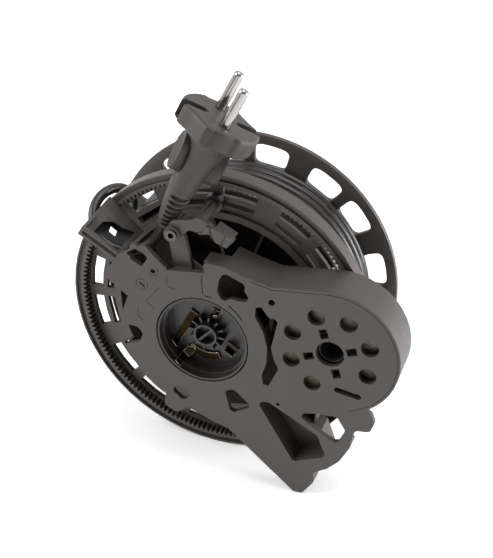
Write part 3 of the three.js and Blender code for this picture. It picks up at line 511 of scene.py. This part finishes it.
# A taper along the bend, with a row of scoops on two opposite sides. The square of the
# distance along from a scoop's middle and the fourth power of the turn from it add up to an
# oval, and a smooth step of what is left of the reach gives the depth.
def reliefRings(setup):
    t = np.linspace(0, 1, setup["rows"])
    line = poleCurve(reliefPoles, t)
    s = np.concatenate([[0], np.cumsum(np.linalg.norm(np.diff(line, axis=0), axis=1))])
    length = s[-1]
    turn = np.arange(setup["sides"]) * 2 * np.pi / setup["sides"]
    taper = setup["thin"] + (setup["thick"] - setup["thin"]) * s / length
    number = np.clip(np.round((s - setup["first"]) / setup["every"]), 0, setup["scoops"] - 1)
    offMiddle = (s - setup["first"] - number * setup["every"]) / setup["halfLong"]
    offTurn = (turn - math.radians(setup["middleTurn"]) + np.pi / 2) % np.pi - np.pi / 2
    offTurn = offTurn / math.radians(setup["halfTurn"])
    oval = offMiddle[:, None] ** 2 + offTurn[None] ** 4
    scoop = smoothStep(setup["reach"] - oval, 0, setup["slope"])
    r = taper[:, None] - setup["deep"] * scoop * taper[:, None] / setup["thick"]
    along = unit(np.gradient(line, axis=0))
    side = unit(np.cross(np.array(plugSetup["pinsAcross"])[None], along))
    across = np.cross(along, side)
    rings = line[:, None] + r[..., None] * (side[:, None] * np.cos(turn)[None, :, None]
                                            + across[:, None] * np.sin(turn)[None, :, None])
    first, last = setup["ends"]
    return rings[(s > first) & (s < length - last)]


relief = meshPiece("cordRelief", *closedLoft(toRow(reliefRings(reliefSetup))), "frame",
                   "plug_skin", reliefSetup["sharp"])
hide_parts("strain_relief")


plugSide = unit(np.array(plugSetup["pinsAcross"])
                - plugAxis * np.dot(plugSetup["pinsAcross"], plugAxis))
plugAcross = np.cross(plugAxis, plugSide)


# Side, across and along the plug, from the end of the strain relief.
def onPlug(places):
    p = np.asarray(places, float)
    base = np.stack([plugSide, plugAcross, plugAxis])
    return toRow(p @ base + reliefPoles[2])


# the head's edge, in turns from -60 to 120 degrees, and the cup on the handle
headSetup = {
    "full": 19.2, "flat": 16.4, "flatMiddle": -59.7, "hollow": 17.6, "hollowFrom": -17,
    "hollowEnd": (14, 24), "fall": (90, 120),
}
cupSetup = {
    "middle": 16.8, "halfLong": 9.4, "halfWide": 6.7, "plane": 10.6, "height": 9.3,
    "dish": 2.0, "dishPower": 2.5, "leastSine": 0.05, "blend": (1.0, 1.07), "end": 1.5,
    "groove": 1.3, "grooveIn": (1.02, 1.12), "grooveOut": (1.18, 1.5), "grooveTo": 27,
}


# The radius of the head's edge, the same in both half turns: a flat, whose radius is its
# distance over the cosine of the turn from its middle, the full round, a shallow hollow,
# the full round again and a smooth fall back to the flat.
def headEdge(turn, setup):
    half = (np.degrees(turn) + 60) % 180 - 60
    full, flat = setup["full"], setup["flat"]
    onFlat = half < setup["hollowFrom"]
    straight = flat / np.cos(np.radians(np.where(onFlat, half - setup["flatMiddle"], 0)))
    hollow = setup["hollow"] + (full - setup["hollow"]) * smoothStep(half, *setup["hollowEnd"])
    fall = full + (flat - full) * smoothStep(half, *setup["fall"])
    edge = np.where(onFlat, np.minimum(straight, full), hollow)
    return np.where(half > setup["fall"][0], fall, edge)


# The radius follows the profile and, at the head, the head's edge. Both ways across the
# pins the handle carries a raised oval cup: a flat height over the sine of the turn, dished
# by a power of the oval distance, with a groove round it.
def plugRings(setup, cup):
    s = np.concatenate([np.linspace(*run) for run in setup["runs"]])[:, None]
    turn = np.arange(setup["sides"]) * 2 * np.pi / setup["sides"]
    sine = np.maximum(np.abs(np.sin(turn)), cup["leastSine"])[None]
    sideways = cup["plane"] * np.abs(np.cos(turn))[None] / sine
    oval = np.sqrt(((s - cup["middle"]) / cup["halfLong"]) ** 2
                   + (sideways / cup["halfWide"]) ** 2)
    raised = (cup["height"] + cup["dish"] * np.clip(oval, 0, 1) ** cup["dishPower"]) / sine
    dip = cup["groove"] * smoothStep(oval, *cup["grooveIn"])
    dip = dip * (1 - smoothStep(oval, *cup["grooveOut"])) * (s < cup["grooveTo"])
    headShare = smoothStep(s, *setup["headFrom"])
    edge = headEdge(turn, headSetup)[None] / headSetup["full"]
    base = np.interp(s, *zip(*setup["profile"])) * (1 + headShare * (edge - 1))
    low = base - dip
    share = 1 - smoothStep(oval, *cup["blend"])
    r = np.where(oval < cup["end"], low + (np.maximum(raised, low) - low) * share, base)
    return polar(r, turn, s)


plugBody = meshPiece("plugHandle", *closedLoft(onPlug(plugRings(plugSetup, cupSetup))),
                     "frame", "plug_skin", plugSetup["sharp"])
# cuts on one side of the plug: outline across the plug and run along it
plugCuts = [
    ([(2.6, 22), (2.4, 8.6), (1.7, 7.3), (0, 6.7), (-1.7, 7.3), (-2.4, 8.6), (-2.6, 22)],
     (30.9, 41)),  # an earth slot from the edge in towards the pins
    ([(2.6, 22), (2.6, 16.9), (-2.6, 16.9), (-2.6, 22)], (26, 30.8)),  # a notch behind it
]
carve(plugBody, [closedLoft(onPlug(prismRings([(x, y * side) for x, y in outline], run)))
                 for side in (1, -1) for outline, run in plugCuts], plugSetup["sharp"])
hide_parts("plug_body")


# A round pin whose tip is a quarter of an ellipse.
def pinRings(setup, offset):
    r, wide, long = setup["pinRadius"], setup["tipWide"], setup["tipLong"]
    shank = setup["pinEnd"] - long
    dome = np.linspace(0, np.pi / 2, setup["domeRings"])[:-1]
    profile = [(r, setup["pinFoot"]), (r, shank)]
    profile += list(zip(r - wide + wide * np.cos(dome), shank + long * np.sin(dome)))
    return turnedRings(profile, setup["pinSides"]) + (offset, 0, 0)


for k, side in enumerate((-1, 1)):
    rings = pinRings(plugSetup, side * plugSetup["pinSpacing"] / 2)
    pin = meshPiece(f"plugPin{k + 1}", *closedLoft(onPlug(rings)), "frame", "chrome",
                    plugSetup["pinSharp"])
    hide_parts(f"plug_pin_{k + 1}")
print("cord and plug made")


# far flange: sixteen cells in a ring, each with a window whose corners are rounded
farSetup = {
    "cells": 16, "phase": 3.7, "narrow": 2.45, "wide": 5.3, "inner": 61.5, "outer": 72.3,
    "cellInner": 55.0, "cellOuter": 76.8, "edge": 77.6, "thick": 3.0, "chamfer": 0.45,
    "web": 53.5, "webFace": 1.5, "bore": 11.4, "soft": 0.2,
    "rim": (0.3, 0.15, 0.7),  # the edge's rounding: inwards, off the face and down the side
    "perSide": 14, "roundness": 4.6, "seam": 0.02, "sharp": 32,
}


# A cell is a square walked once round. The window's outline is the same walk divided by its
# norm of the given power, which rounds the corners. Rings run from the cell's front outline
# over the window's chamfers to the back outline.
def windowCell(setup, start, low, high):
    n = setup["perSide"]
    run = np.arange(n) * 2 / n - 1
    one = np.ones(n)
    walk = np.concatenate([np.stack([run, -one], -1), np.stack([one, run], -1),
                           np.stack([-run, one], -1), np.stack([-one, -run], -1)])
    power = setup["roundness"]
    soft = walk / ((np.abs(walk) ** power).sum(-1, keepdims=True) ** (1 / power))
    inner, outer = setup["cellInner"], setup["cellOuter"]
    cell = np.stack([start + 180 / setup["cells"] * (walk[:, 0] + 1),
                     (inner + outer) / 2 + walk[:, 1] * (outer - inner) / 2], -1)
    middle = np.array([(low + high) / 2, (setup["inner"] + setup["outer"]) / 2])
    half = np.array([(high - low) / 2, (setup["outer"] - setup["inner"]) / 2])
    grow = setup["chamfer"] * np.array([math.degrees(1 / middle[1]), 1.0])
    window = middle + soft * half
    wide = middle + soft * (half + grow)
    t, c = setup["thick"], setup["chamfer"]
    layers = [(cell, t), (wide, t), (window, t - c), (window, c), (wide, 0), (cell, 0)]
    flat = np.stack([p for p, depth in layers])
    depth = np.array([d for p, d in layers])[:, None]
    places = polar(flat[..., 1], np.radians(flat[..., 0]), depth)
    return places.reshape(-1, 3), ringQuads(len(layers), len(walk)).tolist()


# rings about the drum's axis, open at both ends, with the cells' own steps
def turnedBand(setup, profile):
    sides = setup["cells"] * setup["perSide"]
    rings = turnedRings(profile, sides, math.radians(setup["phase"]))
    return rings.reshape(-1, 3), ringQuads(len(profile), sides).tolist()


# Cells in pairs, with a wide bar between the two windows of a pair and a narrow one between
# pairs, then the rim outside the cells and the stepped web inside them.
def farFlangeMesh(setup):
    parts = []
    step, narrow, wide = 360 / setup["cells"], setup["narrow"], setup["wide"]
    for k in range(0, setup["cells"], 2):
        first = setup["phase"] + step * k
        second = first + step
        parts.append(windowCell(setup, first, first + narrow, second - wide))
        parts.append(windowCell(setup, second, second + wide, second + step - narrow))
    edge, t, soft = setup["edge"], setup["thick"], setup["soft"]
    web, face, bore = setup["web"], setup["webFace"], setup["bore"]
    inwards, off, down = setup["rim"]
    parts.append(turnedBand(setup, [
        (setup["cellOuter"], t), (edge - inwards, t - off), (edge, t - down), (edge, down),
        (edge - inwards, off), (setup["cellOuter"], 0)]))
    parts.append(turnedBand(setup, [
        (setup["cellInner"], 0), (web + soft, 0), (web, soft), (web, face),
        (bore + soft, face), (bore, face + soft), (bore, t - soft), (bore + soft, t),
        (setup["cellInner"], t)]))
    return joinParts(parts)


farVerts, farFaces = farFlangeMesh(farSetup)
farFlange = meshPiece("farFlange", toRow(farVerts, leaning=False), farFaces, "drum",
                      "drum_plastic")
closeSeams(farFlange, farSetup["seam"] * mm, farSetup["sharp"])
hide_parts("drum_far_flange")

# mainspring: a flat strip wound on edge, its coils seen through the holes of the housing
springSetup = {
    "middle": (63.6, 0.0), "first": 7.6, "inner": 13.6, "outer": 25.3, "turns": 20,
    "lead": 1.0, "leadPower": 0.8, "perTurn": 60, "thick": 0.36, "soft": 0.07,
    "back": 58.6, "front": 69.18, "waver": 0.11, "waverRates": (9.1, 2.3), "sharp": 40,
}


# A spiral whose radius grows evenly with the turn after a quick lead off the arbor. The
# front edge wavers from coil to coil by the product of two sines of the turn.
def springRings(setup):
    count = int((setup["turns"] + setup["lead"]) * setup["perTurn"])
    turn = np.arange(count + 1) / setup["perTurn"] - setup["lead"]
    share = np.clip(turn / setup["turns"], 0, 1)
    leadShare = np.clip(-turn / setup["lead"], 0, 1) ** setup["leadPower"]
    r = setup["inner"] + (setup["outer"] - setup["inner"]) * share
    r = r + (setup["first"] - setup["inner"]) * leadShare
    quick, slow = setup["waverRates"]
    front = setup["front"] - setup["waver"] * np.sin(turn * quick) * np.sin(turn * slow + 1)
    back = np.full_like(r, setup["back"])
    half, soft = setup["thick"] / 2, setup["soft"]
    section = [(-half, front - soft), (-half + soft, front), (half - soft, front),
               (half, front - soft), (half, back), (-half, back)]
    rings = [polar(r + out, turn * 2 * np.pi, depth) for out, depth in section]
    return np.stack(rings, 1) + (*setup["middle"], 0)


mainspring = meshPiece("mainspringCoils", *closedLoft(toRow(springRings(springSetup))),
                       nodeBodies["mainspring"], "spring_steel", springSetup["sharp"])
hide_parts("mainspring")
print("far flange and mainspring made")


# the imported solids: a merged copy with smoother shading stands for each one listed
dressed = {
    "frame_plate": "framePlate", "drum_near_flange": "nearFlange", "drum_core": "drumCore",
    "contact_carrier": "contactCarrier", "brake_lever": "brakeLever",
    "drum_axle": "drumAxle", "spring_back_cover": "springCover",
    "brake_roller": "brakeRoller", "slip_ring_holder": "slipRingHolder",
    "idler_gear": "idlerGear", "spring_wheel": "springWheel",
    "retaining_washer": "retainingWasher", "axle_screw": "axleScrew",
    "spring_arbor_pin": "springArborPin", "brake_pivot_pin": "brakePivotPin",
}
solidMerge = 0.000002  # metres within which the solids' loose corners are one


# A copy of the solid with its doubles merged, so that it can be shaded and carved.
def dressedCopy(node, name):
    mesh = nodes[node].data.copy()
    mesh.name = name
    made = inScene(name, mesh)
    editable = bmesh.new()
    editable.from_mesh(mesh)
    bmesh.ops.remove_doubles(editable, verts=editable.verts, dist=solidMerge)
    editable.to_mesh(mesh)
    editable.free()
    if mesh.has_custom_normals:
        mesh.attributes.remove(mesh.attributes["custom_normal"])
    shadeSmooth(mesh, smoothUnder)
    mesh.materials.clear()
    mesh.materials.append(finishes[nodeSlots[node]])
    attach(made, nodeBodies[node])
    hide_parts(node)
    return made


copies = {node: dressedCopy(node, name) for node, name in dressed.items()}

# cutters: where the frame plate's face lies and how far they stand out of a face
cutSetup = {"face": 73.65, "over": 0.6, "roundSides": 28, "ringSides": 120}


# The outline is the run with half the width added on one side and taken off on the other.
def groove(run, wide, deep, front=cutSetup["face"]):
    p = np.asarray(run, float)
    along = unit(np.gradient(p, axis=0))
    side = np.stack([-along[:, 1], along[:, 0]], -1) * wide / 2
    outline = np.concatenate([p + side, (p - side)[::-1]])
    return closedLoft(toRow(prismRings(outline, (front - deep, front + cutSetup["over"]))))


# part of a circle between two angles in degrees
def arcRun(middle, r, start, end, count):
    a = np.radians(np.linspace(start, end, count))
    return np.stack([middle[0] + r * np.cos(a), middle[1] + r * np.sin(a)], -1)


def roundCut(middle, r, deep, front=cutSetup["face"]):
    outline = circle(middle, r, cutSetup["roundSides"])
    return closedLoft(toRow(prismRings(outline, (front - deep, front + cutSetup["over"]))))


# A ring of square section about the depth axis: four circles, the last joined to the first.
def squareRing(inner, outer, back, front, count=cutSetup["ringSides"], leaning=True):
    rings = turnedRings([(inner, back), (inner, front), (outer, front), (outer, back)], count)
    quads = ringQuads(5, count) % (4 * count)
    return toRow(rings.reshape(-1, 3), leaning), quads[:, [0, 3, 2, 1]].tolist()


# fine lines, dimples and a square opening in the face of the frame plate
plateCuts = [
    groove([(-17.6, 27.5), (-26.1, 19.5)], 0.32, 0.35),
    groove([(-25.7, 18.9), (-22.1, 15.0)], 0.32, 0.35),
    groove([(-13.2, 33.4), (-13.9, 29.2)], 0.3, 0.3),
    groove([(-13.6, 28.6), (-9.9, 27.0)], 0.3, 0.3),
    groove([(4.5, 35.6), (3.9, 25.9)], 0.5, 0.6),
    groove([(4.4, 25.2), (8.2, 24.5)], 0.5, 0.6),
    groove([(16.3, 20.9), (19.6, 17.4), (22.2, 13.4)], 0.6, 0.8),
    groove(arcRun((-27.4, 12.0), 4.2, 130, 250, 12), 0.35, 0.35),
    groove(arcRun((-26.9, 28.2), 2.9, 60, 200, 12), 0.3, 0.3),
    groove(arcRun((-26.9, 28.2), 2.9, 240, 380, 12), 0.3, 0.3),
    groove([(-28.0, 29.3), (-25.6, 27.0)], 0.8, 1.2),
    roundCut((-20.0, 35.9), 1.25, 1.6),
    groove(arcRun((-20.0, 35.9), 2.5, 200, 400, 14), 0.3, 0.3),
    roundCut((35.4, -32.0), 0.9, 1.2),
    groove(arcRun(springSetup["middle"], 31.6, -78, 92, 60), 0.3, 0.35),
    groove([(61.9, 31.55), (38.4, 31.5), (28.4, 35.0)], 0.3, 0.35),
    closedLoft(toRow(prismRings([(-32.4, 44.7), (-27.4, 47.4), (-21.9, 43.2), (-25.7, 37.9)],
                                (70.4, 74.3)))),
]

# the guide's wall is open to a pocket behind it, whose depth shades it and whose darker inner
# plastic adds
# painted shade: corners on the wall and how deep the pocket is at each, along one direction
guideSetup = {
    "corners": [(-49.63, 52.65, 69.85), (-46.9, 55.29, 64.75), (-43.57, 53.77, 61.25),
                (-40.2, 50.73, 60.55), (-35.13, 46.62, 57.0), (-38.58, 43.47, 69.95)],
    "deep": (5.0, 5.0, 4.6, 3.8, 1.9, 5.0), "way": (0.575, 0.563, 1.0), "wall": 0.9,
    "top": -0.4, "recess": (3.5, -2.0),
    "hole": [(-43.73, 51.25, 66.25), (-43.57, 52.69, 63.85), (-40.89, 50.19, 63.75),
             (-40.97, 48.83, 66.3)],
    "holeRun": (-2.0, -9.0), "steps": 6, "sharp": 30,
}


# The corners moved along the pocket's direction, with even steps between them.
def guideRun(corners, shift, wider=0.0):
    moved = np.asarray(shift, float).reshape(-1, 1) * guideSetup["way"]
    return widened(stepsBetween(np.asarray(corners, float) + moved, guideSetup["steps"]), wider)


# The rings run up the inside of the pocket's wall and down its outside.
def guidePocketRings(setup):
    corners, deep, wall = setup["corners"], np.array(setup["deep"]), setup["wall"]
    return np.stack([guideRun(corners, -deep), guideRun(corners, setup["top"]),
                     guideRun(corners, setup["top"], wall),
                     guideRun(corners, -deep - wall, wall)])


# a closed cutter from one shift of the corners to another
def guideCut(corners, shifts):
    return closedLoft(toRow(np.stack([guideRun(corners, shift) for shift in shifts])))


plateCuts.append(guideCut(guideSetup["corners"], guideSetup["recess"]))
# the darker inner plastic on the pocket is painted shade over the real shading of its depth
guidePocket = meshPiece("guidePocket", *closedLoft(toRow(guidePocketRings(guideSetup))),
                        "frame", "inner_plastic", guideSetup["sharp"])
carve(guidePocket, [guideCut(guideSetup["hole"], guideSetup["holeRun"])], guideSetup["sharp"])

# cuts in the solids; the fourth value of a groove or a round cut says where the face lies,
# where that isn't the frame plate's
solidCuts = {
    "frame_plate": plateCuts,
    "drum_near_flange": [squareRing(74.3, 76.6, 50.4, 52.6, leaning=False)],
    "spring_wheel": [roundCut(springSetup["middle"], 5.7, 12.0, 70.4)],
    "spring_arbor_pin": [roundCut(springSetup["middle"], 3.2, 10.0, 70.4)],
    "brake_pivot_pin": [roundCut((-8.2, 55.4), 1.35, 4.5)],
    "brake_lever": [
        groove([(11.2, 61.0), (11.0, 57.4), (12.4, 53.0)], 0.5, 0.6, 72.0),
        groove([(18.6, 57.2), (15.6, 51.6)], 0.4, 0.5, 72.0),
        groove([(-3.4, 55.0), (7.0, 57.4)], 0.5, 0.6, 71.0)],
    "contact_carrier": [roundCut((0, 0), 4.88, 4.2, 69.0)],
}
for node, cutters in solidCuts.items():
    carve(copies[node], cutters)

# hub well: a thin rim ring, a hollow boss with a bar across, the long strip and the riser
wellSetup = {
    "rim": (21.9, 22.9, 70.0, 73.4), "boss": (4.85, 5.9, 63.4, 69.4),  # radii, back, front
    "bar": [(-4.9, -3.4), (-4.1, -4.3), (4.9, 3.4), (4.1, 4.3)], "barDepths": (64.6, 69.0),
    "strip": [(-7.6, 11.3), (-19.3, -6.2), (-17.5, -9.8), (-4.2, 8.3)],
    "stripDepths": (63.9, 64.9),
    "stripEnd": [(-19.3, -6.2), (-17.5, -9.8), (-16.9, -9.3), (-18.8, -5.8)],
    "endDepths": (64.4, 67.4),
    "rivets": [(-14.4, -1.5), (-8.6, 6.2)],
    "rivetProfile": [(1.0, 64.6), (1.0, 65.2), (0.6, 65.5)],
    "riser": [(-10.4, -11.6, 64.4), (-13.4, -14.2, 65.6), (-15.3, -16.0, 72.2)],
    "riserSide": (0.64, -0.77, 0.0), "riserHalf": 2.1,
    "riserUp": (0.5, 0.58, 0.6), "riserThick": 0.7,
    "ringSides": 96, "rivetSides": 24, "seam": 0.001, "sharp": 30, "rivetSharp": 50,
}


# a ring about the well's axis
def wellRing(name, measures, slot):
    made = meshPiece(name, *squareRing(*measures, wellSetup["ringSides"]), "frame", slot)
    closeSeams(made, wellSetup["seam"] * mm, wellSetup["sharp"])


# one outline between two depths
def flatPiece(name, outline, depths, slot):
    return meshPiece(name, *closedLoft(toRow(prismRings(outline, depths))), "frame", slot,
                     wellSetup["sharp"])


# A strip's four edges along the riser: half the width to each side, and those lifted.
def riserRings(setup):
    line = np.array(setup["riser"])
    side = np.array(setup["riserSide"]) * setup["riserHalf"]
    up = np.array(setup["riserUp"]) * setup["riserThick"]
    return np.stack([line - side, line + side, line + side + up, line - side + up], 1)


wellRing("wellRim", wellSetup["rim"], "inner_plastic")
wellRing("wellBoss", wellSetup["boss"], "inner_plastic")
flatPiece("wellBar", wellSetup["bar"], wellSetup["barDepths"], "inner_plastic")
longStrip = flatPiece("longStrip", wellSetup["strip"], wellSetup["stripDepths"], "brass")
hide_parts("contact_strip_long")
flatPiece("longStripEnd", wellSetup["stripEnd"], wellSetup["endDepths"], "brass")
for k, place in enumerate(wellSetup["rivets"]):
    rings = turnedRings(wellSetup["rivetProfile"], wellSetup["rivetSides"]) + (*place, 0)
    meshPiece(f"stripRivet{k + 1}", *closedLoft(toRow(rings)), "frame", "brass",
              wellSetup["rivetSharp"])
meshPiece("stripRiser", *closedLoft(toRow(riserRings(wellSetup))), "frame", "brass",
          wellSetup["sharp"])

# pockets behind the windows of the leg: a wall round each window and a floor
pocketSetup = {
    "top": 71.0, "floor": 60.6, "wall": 1.2, "steps": 8, "sharp": 30,
    "foot": [(24.8, -31.8), (30.5, -31.4), (53.7, -47.5), (57.2, -60.0), (48.9, -62.7),
             (40.0, -65.6)],
    "knee": [(44.2, -36.0), (52.9, -34.8), (52.4, -40.0), (51.6, -42.4)],
}


# The rings run up along the window's outline and down along the same outline drawn outward.
def pocket(name, outline):
    inside = stepsBetween(outline, pocketSetup["steps"])
    outside = widened(inside, pocketSetup["wall"])
    low, top = pocketSetup["floor"], pocketSetup["top"]
    rings = np.concatenate([prismRings(inside, (low, top)),
                            prismRings(outside, (top, low - pocketSetup["wall"]))])
    meshPiece(name, *closedLoft(toRow(rings)), "frame", "frame_plastic", pocketSetup["sharp"])


pocket("footPocket", pocketSetup["foot"])
pocket("kneePocket", pocketSetup["knee"])
for node, made in nodes.items():  # the solids that nothing replaces
    if not made.hide_render:
        made.data.materials.clear()
        made.data.materials.append(finishes[nodeSlots[node]])
print("solids dressed")


# studio: a pale floor, three soft lights and a surround that is white to the camera but
# lights the reel less from the camera's side
studioSetup = {
    "floorTone": (0.90, 0.90, 0.90), "floorRoughness": 0.9, "floorHalf": 14.0,
    "floorLevel": -0.0002, "floorLines": 25,
    "floorGlow": 0.24, "farGlow": 0.8, "glowRise": (0.5, 1.8),  # metres from the reel
    "surround": 1.0, "dark": 0.34, "darkRise": (-0.2, 0.9),
    "lights": [  # name, place in metres, size, power
        ("keyLight", (-0.95, -0.50, 0.80), 0.8, 12.0),
        ("topLight", (0.25, 0.10, 1.30), 0.8, 8.0),
        ("sideLight", (0.95, 0.20, 0.22), 0.5, 12.0),
    ],
    "aim": (0.0, 0.0, 0.08),
}


# A flat grid. Its glow grows with the distance, so that the far floor meets the surround.
def makeFloor(setup):
    across = np.linspace(-setup["floorHalf"], setup["floorHalf"], setup["floorLines"])
    x, y = np.meshgrid(across, across)
    verts = np.stack([x, y, 0 * x + setup["floorLevel"]], -1).reshape(-1, 3)
    n = len(across)
    i = np.arange(n - 1)[:, None] * n
    k = np.arange(n - 1)[None]
    quads = np.stack([i + k, i + k + 1, i + k + 1 + n, i + k + n], -1)
    mesh = bpy.data.meshes.new("studioFloor")
    mesh.from_pydata(verts.tolist(), [], quads.reshape(-1, 4).tolist())
    mesh.shade_smooth()
    made = inScene("studioFloor", mesh)
    material = bpy.data.materials.new("paleFloor")
    material.use_nodes = True
    tree = material.node_tree
    shader = tree.nodes["Principled BSDF"]
    shader.inputs["Base Color"].default_value = (*setup["floorTone"], 1)
    shader.inputs["Roughness"].default_value = setup["floorRoughness"]
    shader.inputs["Emission Color"].default_value = (1, 1, 1, 1)
    near, far = setup["glowRise"]
    place = wire(tree, "ShaderNodeTexCoord").outputs["Object"]
    away = wire(tree, "ShaderNodeVectorMath", {0: place}, operation="LENGTH").outputs["Value"]
    glow = wire(tree, "ShaderNodeMapRange", {
        "Value": away, "From Min": near, "From Max": far, "To Min": setup["floorGlow"],
        "To Max": setup["farGlow"]}, interpolation_type="SMOOTHSTEP")
    tree.links.new(glow.outputs[0], shader.inputs["Emission Strength"])
    mesh.materials.append(material)


def makeLights(setup):
    for name, place, size, power in setup["lights"]:
        light = bpy.data.lights.new(name, "AREA")
        light.size = size
        light.energy = power
        holder = inScene(name, light)
        holder.location = place
        aim = Vector(setup["aim"]) - Vector(place)
        holder.rotation_euler = aim.to_track_quat("-Z", "Y").to_euler()


def makeSurround(setup):
    world = bpy.data.worlds.new("studio")
    world.use_nodes = True
    tree = world.node_tree
    background = tree.nodes["Background"]
    way = wire(tree, "ShaderNodeTexCoord").outputs["Generated"]
    facing = wire(tree, "ShaderNodeVectorMath", {0: way, 1: cameraSetup["back"]},
                  operation="DOT_PRODUCT").outputs["Value"]
    low, high = setup["darkRise"]
    level = wire(tree, "ShaderNodeMapRange", {
        "Value": facing, "From Min": low, "From Max": high, "To Min": setup["surround"],
        "To Max": setup["dark"]}, interpolation_type="SMOOTHSTEP").outputs[0]
    seen = wire(tree, "ShaderNodeLightPath").outputs["Is Camera Ray"]
    level = mathNode(tree, "MAXIMUM", level, seen)
    tree.links.new(level, background.inputs["Strength"])
    background.inputs["Color"].default_value = (1, 1, 1, 1)
    scene.world = world
    scene.view_settings.view_transform = "Standard"


makeFloor(studioSetup)
makeLights(studioSetup)
makeSurround(studioSetup)
print("studio ready")
